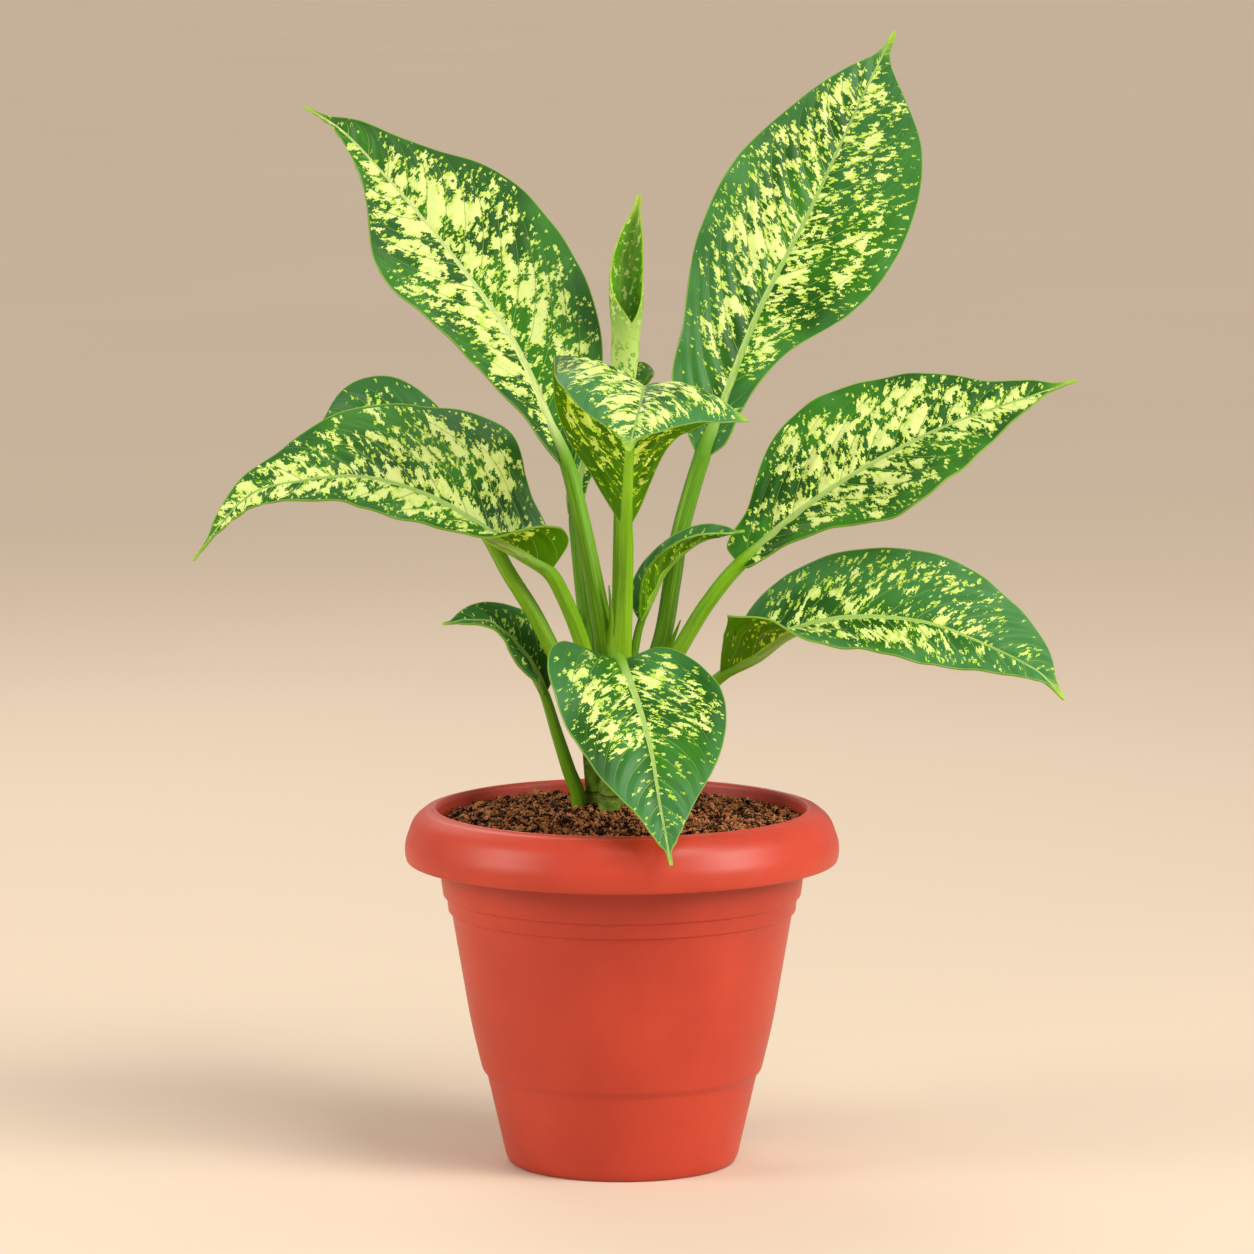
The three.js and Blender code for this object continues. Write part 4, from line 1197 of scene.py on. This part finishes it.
class PLANT_OT_stalks(bpy.types.Operator):
    """Grow the leaf stalks, some with the free pointed tip of their sheath"""

    bl_idname = "plant.make_stalks"
    bl_label = "Stalks"

    def execute(self, context):
        skin = stalk_skin(context.scene.plant_looks)
        for name, leaf in {**LEAVES, "new": SPEAR}.items():
            path, split = leaf_path(leaf)
            # The third tone value is the stalk's darkening, partly painted shade for stalks set
            # back in the clump.
            tone = (0, leaf["tone"][1], leaf["shade"])
            piece = add_tube("stalk_" + name, path, 0, split, leaf["radius"], 32, 60, 0.12, tone)
            if "sheath" in leaf:
                sheath = add_tube("sheath", Path(leaf["sheath"]), 0, 1, (1.9, 1.2, 0.3), 16, 16)
                piece = join([piece, sheath])
            smooth_shade(piece)
            dress(piece, "petiole_" + name, [skin])
        return {"FINISHED"}


# ---------------------------------------------------------------- leaves
def add_rib(leaf):
    """The raised midrib below a blade, which runs on from the stalk and thins out to the tip."""
    piece = add_grid("rib", 20, 80)
    around, s = grid_shares(piece)
    middle, _, right, up = blade_frame(leaf, s)
    stem = leaf["radius"][1] * MM
    thin = 0.0004
    radius = thin + (stem - thin) * (1 - s) ** 1.35
    sink = ease(s / 0.2) ** 0.6 * (radius + 0.0002)  # level with the blade, and soon below it
    angle = around * math.tau
    spoke = right * -np.cos(angle)[:, None] + up * np.sin(angle)[:, None]
    place_vertices(piece, middle - up * sink[:, None] + spoke * radius[:, None])
    path, split = leaf_path(leaf)
    add_attribute(piece, "stem", around, (split + (1 - split) * s) * path.length, 1 + s)
    # Its third tone value is the stalk's darkening, partly painted shade, seen only where the rib
    # leaves the stalk.
    add_attribute(piece, "tone", 0, leaf["tone"][1], leaf["shade"])
    close_tube(piece)
    edit(piece, face_outward)
    return piece


def add_blade(name, leaf, looks, seed):
    """A thin waved blade, quilted between its side veins."""
    piece = add_grid(name, 60, 150)
    across, s = grid_shares(piece)
    v = np.clip(across * 2 - 1, -1, 1)
    v = np.sign(v) * np.abs(v) ** 1.35  # closer columns beside the midrib
    s = np.clip(s, 0, 1)
    drawn = 1 - 0.55 * np.exp(-(((s - 0.96) / 0.045) ** 2))  # a fine drawn-out tip
    reach = np.abs(v)
    roll = hook = 0
    for part, (depth, push, place, length) in zip((v < 0, v > 0), leaf.get("roll", ())):
        near = part * np.exp(-(((s - place) / length) ** 2))
        drawn = drawn + push * near * reach**2
        roll = roll + depth * MM * near * reach**5
        hook = hook + (push > 0) * near * reach**4
    points, normal, width = blade_points(leaf, s, v * drawn)
    width = width * drawn
    path, split = leaf_path(leaf)
    long = (1 - split) * path.length
    vein = long * s - width * reach * (VEIN_RUN + VEIN_SWEEP * reach**2)
    bulge = np.cos(math.tau * (vein / looks.vein_spacing + seed * VEIN_SHIFT + 0.5))
    spread = np.sin(math.pi * reach**0.8) * ease(s / 0.15) * ease((1 - s) / 0.15)
    # Small waves along the margin, lower on short blades, and a shallow valley over the midrib.
    wander = np.sin(math.tau * (s * 9 + seed * 0.37 + 0.3 * (v > 0))) * reach**4
    wander = wander * ease(s / 0.1) * ease((1 - s) / 0.25)
    ruffle = 0.0006 * min(1, long / 0.2) ** 2
    valley = np.exp(-((width * reach / 0.0018) ** 2)) * ease(s / 0.1) * ease((1 - s) / 0.2)
    relief = looks.quilt * bulge * spread + ruffle * wander - 0.0004 * valley - roll
    points += normal * relief[:, None]
    place_vertices(piece, points)
    add_attribute(piece, "place", width * v, long * s, seed)
    add_attribute(piece, "share", reach, s, width)
    add_attribute(piece, "tone", *leaf["tone"])
    add_attribute(piece, "splashes", *leaf["splashes"], hook)
    return piece


class PLANT_OT_leaves(bpy.types.Operator):
    """Unfold the eleven open spotted leaves"""

    bl_idname = "plant.make_leaves"
    bl_label = "Leaves"

    def execute(self, context):
        looks = context.scene.plant_looks
        upper_side = spotted_blade("leaf upper side", looks, False)
        underside = spotted_blade("leaf underside", looks, True)
        skin = bpy.data.materials["stalk skin"]
        for seed, (name, leaf) in enumerate(LEAVES.items()):
            blade = add_blade("blade_" + name, leaf, looks, seed)
            blade.data.materials.append(upper_side)
            blade.data.materials.append(underside)
            apply_modifier(blade, "SOLIDIFY", thickness=looks.blade, offset=-1, material_offset=1)
            rib = add_rib(leaf)
            rib.data.materials.append(skin)
            piece = join([blade, rib])
            smooth_shade(piece, 60)
            dress(piece, "leaf_" + name, [])
        return {"FINISHED"}


class PLANT_OT_spear(bpy.types.Operator):
    """Roll the youngest leaf into a spear"""

    bl_idname = "plant.make_spear"
    bl_label = "New leaf"

    def execute(self, context):
        looks = context.scene.plant_looks
        piece = add_grid("rolled_leaf", 96, 140)
        across, s = grid_shares(piece)
        path, split = leaf_path(SPEAR)
        middle, along = path.at(split + (1 - split) * s)
        side = unit(np.cross((0, 1, 0), along))
        back = np.cross(along, side)
        # Wound up more than once round at the bottom, and opening into a pointed spoon above.
        wound = 1.3 - 0.75 * ease((s - 0.2) / 0.42)
        angle = math.tau * wound * (across - 0.5) - 0.35 * (1 - ease((s - 0.4) / 0.3))
        girth = evenly(SPEAR["girth"], s) * MM * (1 - 0.42 * np.exp(-(((s - 0.93) / 0.07) ** 2)))
        lap = np.clip((wound - 0.9) / 0.2, 0, 1) * 0.12
        radius = girth * (1 - lap * across) + 0.0002
        flat = np.cos(angle) * (1 - 0.4 * ease((s - 0.6) / 0.3))
        spoke = side * np.sin(angle)[:, None] + back * flat[:, None]
        place_vertices(piece, middle + spoke * radius[:, None])
        width = girth * math.pi * wound
        add_attribute(piece, "place", width * (across * 2 - 1), (1 - split) * path.length * s, 0)
        add_attribute(piece, "share", np.abs(across * 2 - 1), s, width)
        piece.data.materials.append(young_blade("young leaf inside", looks, False))
        piece.data.materials.append(young_blade("young leaf outside", looks, True))
        apply_modifier(piece, "SOLIDIFY", thickness=0.0007, offset=0, material_offset=1)
        smooth_shade(piece, 60)
        dress(piece, "leaf_new", [])
        return {"FINISHED"}


# ---------------------------------------------------------------- stage
class PLANT_OT_stage(bpy.types.Operator):
    """Set the floor, the soft lights and the camera"""

    bl_idname = "plant.make_stage"
    bl_label = "Stage"

    def execute(self, context):
        stage = context.scene.plant_stage
        self.add_floor(stage)
        self.add_lights(stage)
        self.add_camera(stage)
        world = bpy.data.worlds.new("studio")
        world.use_nodes = True
        background = world.node_tree.nodes["Background"]
        background.inputs["Color"].default_value = (*stage.surround, 1)
        background.inputs["Strength"].default_value = stage.surround_strength
        context.scene.world = world
        context.scene.view_settings.view_transform = "Standard"
        return {"FINISHED"}

    def add_floor(self, stage):
        """A plain round floor, wide enough to reach behind the plant in every view."""
        deselect()
        bpy.ops.mesh.primitive_circle_add(vertices=96, radius=stage.floor_radius, fill_type="NGON")
        piece = bpy.context.active_object
        piece.name = "floor"
        shader = Shader("studio paper", {"Roughness": 0.9, "Specular IOR Level": 0.15})
        mottle = shader.noise(shader.object_place(), 1.5, 2)
        tint = shader.mix(mottle, stage.floor, tuple(c * 0.95 for c in stage.floor))
        piece.data.materials.append(shader.finish(tint))

    def add_lights(self, stage):
        """A broad soft key from the front, and soft boxes at both sides and behind."""
        key = bpy.data.lights.new("key", "SUN")
        key.energy = stage.key_strength
        key.angle = math.radians(28)
        key.color = paint(255, 251, 244)
        self.aim(key, (0.85, -0.95, 2.15))
        boxes = {  # place, size and watts
            "left box": ((-1.25, -0.52, 0.75), 0.6, 10),
            "right box": ((1.25, -0.64, 0.8), 0.6, 16),
            "back box": ((-0.5, 1.3, 1.4), 1.0, 9),
        }
        for name, (place, size, power) in boxes.items():
            light = bpy.data.lights.new(name, "AREA")
            light.size = size
            light.energy = power
            light.color = paint(255, 251, 245)
            self.aim(light, place)

    def aim(self, light, place):
        """Hangs a light at a place, turned towards the plant."""
        lamp = bpy.data.objects.new(light.name, light)
        lamp.location = place
        toward = Vector((0, 0, 0.22)) - lamp.location
        lamp.rotation_euler = toward.to_track_quat("-Z", "Y").to_euler()
        link(lamp)

    def add_camera(self, stage):
        """The camera in front of the pot, tilted down a little."""
        camera = bpy.data.cameras.new("camera")
        camera.lens = stage.lens
        camera.sensor_width = 36
        eye = bpy.data.objects.new("camera", camera)
        eye.location = (stage.camera_aside, -stage.camera_distance, stage.camera_height)
        eye.rotation_euler = (math.pi / 2 - stage.camera_tilt, 0, 0)
        link(eye)
        bpy.context.scene.camera = eye


# ---------------------------------------------------------------- panel
STEPS = (
    PLANT_OT_stage,
    PLANT_OT_pot,
    PLANT_OT_soil,
    PLANT_OT_canes,
    PLANT_OT_stalks,
    PLANT_OT_leaves,
    PLANT_OT_spear,
)


class VIEW3D_PT_plant(bpy.types.Panel):
    """The plant's sizes, colours and steps"""

    bl_label = "Potted Chinese Evergreen"
    bl_space_type = "VIEW_3D"
    bl_region_type = "UI"
    bl_category = "Evergreen"

    def draw(self, context):
        for step in STEPS:
            self.layout.operator(step.bl_idname)
        for name in SETTINGS:
            settings = getattr(context.scene, name)
            box = self.layout.box()
            for key in settings.bl_rna.properties.keys():
                if key not in ("rna_type", "name"):
                    box.prop(settings, key)


SETTINGS = {"plant_pot": PotSettings, "plant_looks": PlantSettings, "plant_stage": StageSettings}
CLASSES = (*SETTINGS.values(), *STEPS, VIEW3D_PT_plant)


def register():
    """Adds the settings, the steps and the panel."""
    for made in CLASSES:
        bpy.utils.register_class(made)
    for name, settings in SETTINGS.items():
        setattr(bpy.types.Scene, name, bpy.props.PointerProperty(type=settings))


def unregister():
    """Takes out what register added."""
    for name in SETTINGS:
        delattr(bpy.types.Scene, name)
    for made in reversed(CLASSES):
        bpy.utils.unregister_class(made)


def main():
    """Builds every piece in order."""
    register()
    bpy.ops.plant.make_stage()
    bpy.ops.plant.make_pot()
    bpy.ops.plant.make_soil()
    bpy.ops.plant.make_canes()
    bpy.ops.plant.make_stalks()
    bpy.ops.plant.make_leaves()
    bpy.ops.plant.make_spear()


if __name__ == "__main__":
    main()
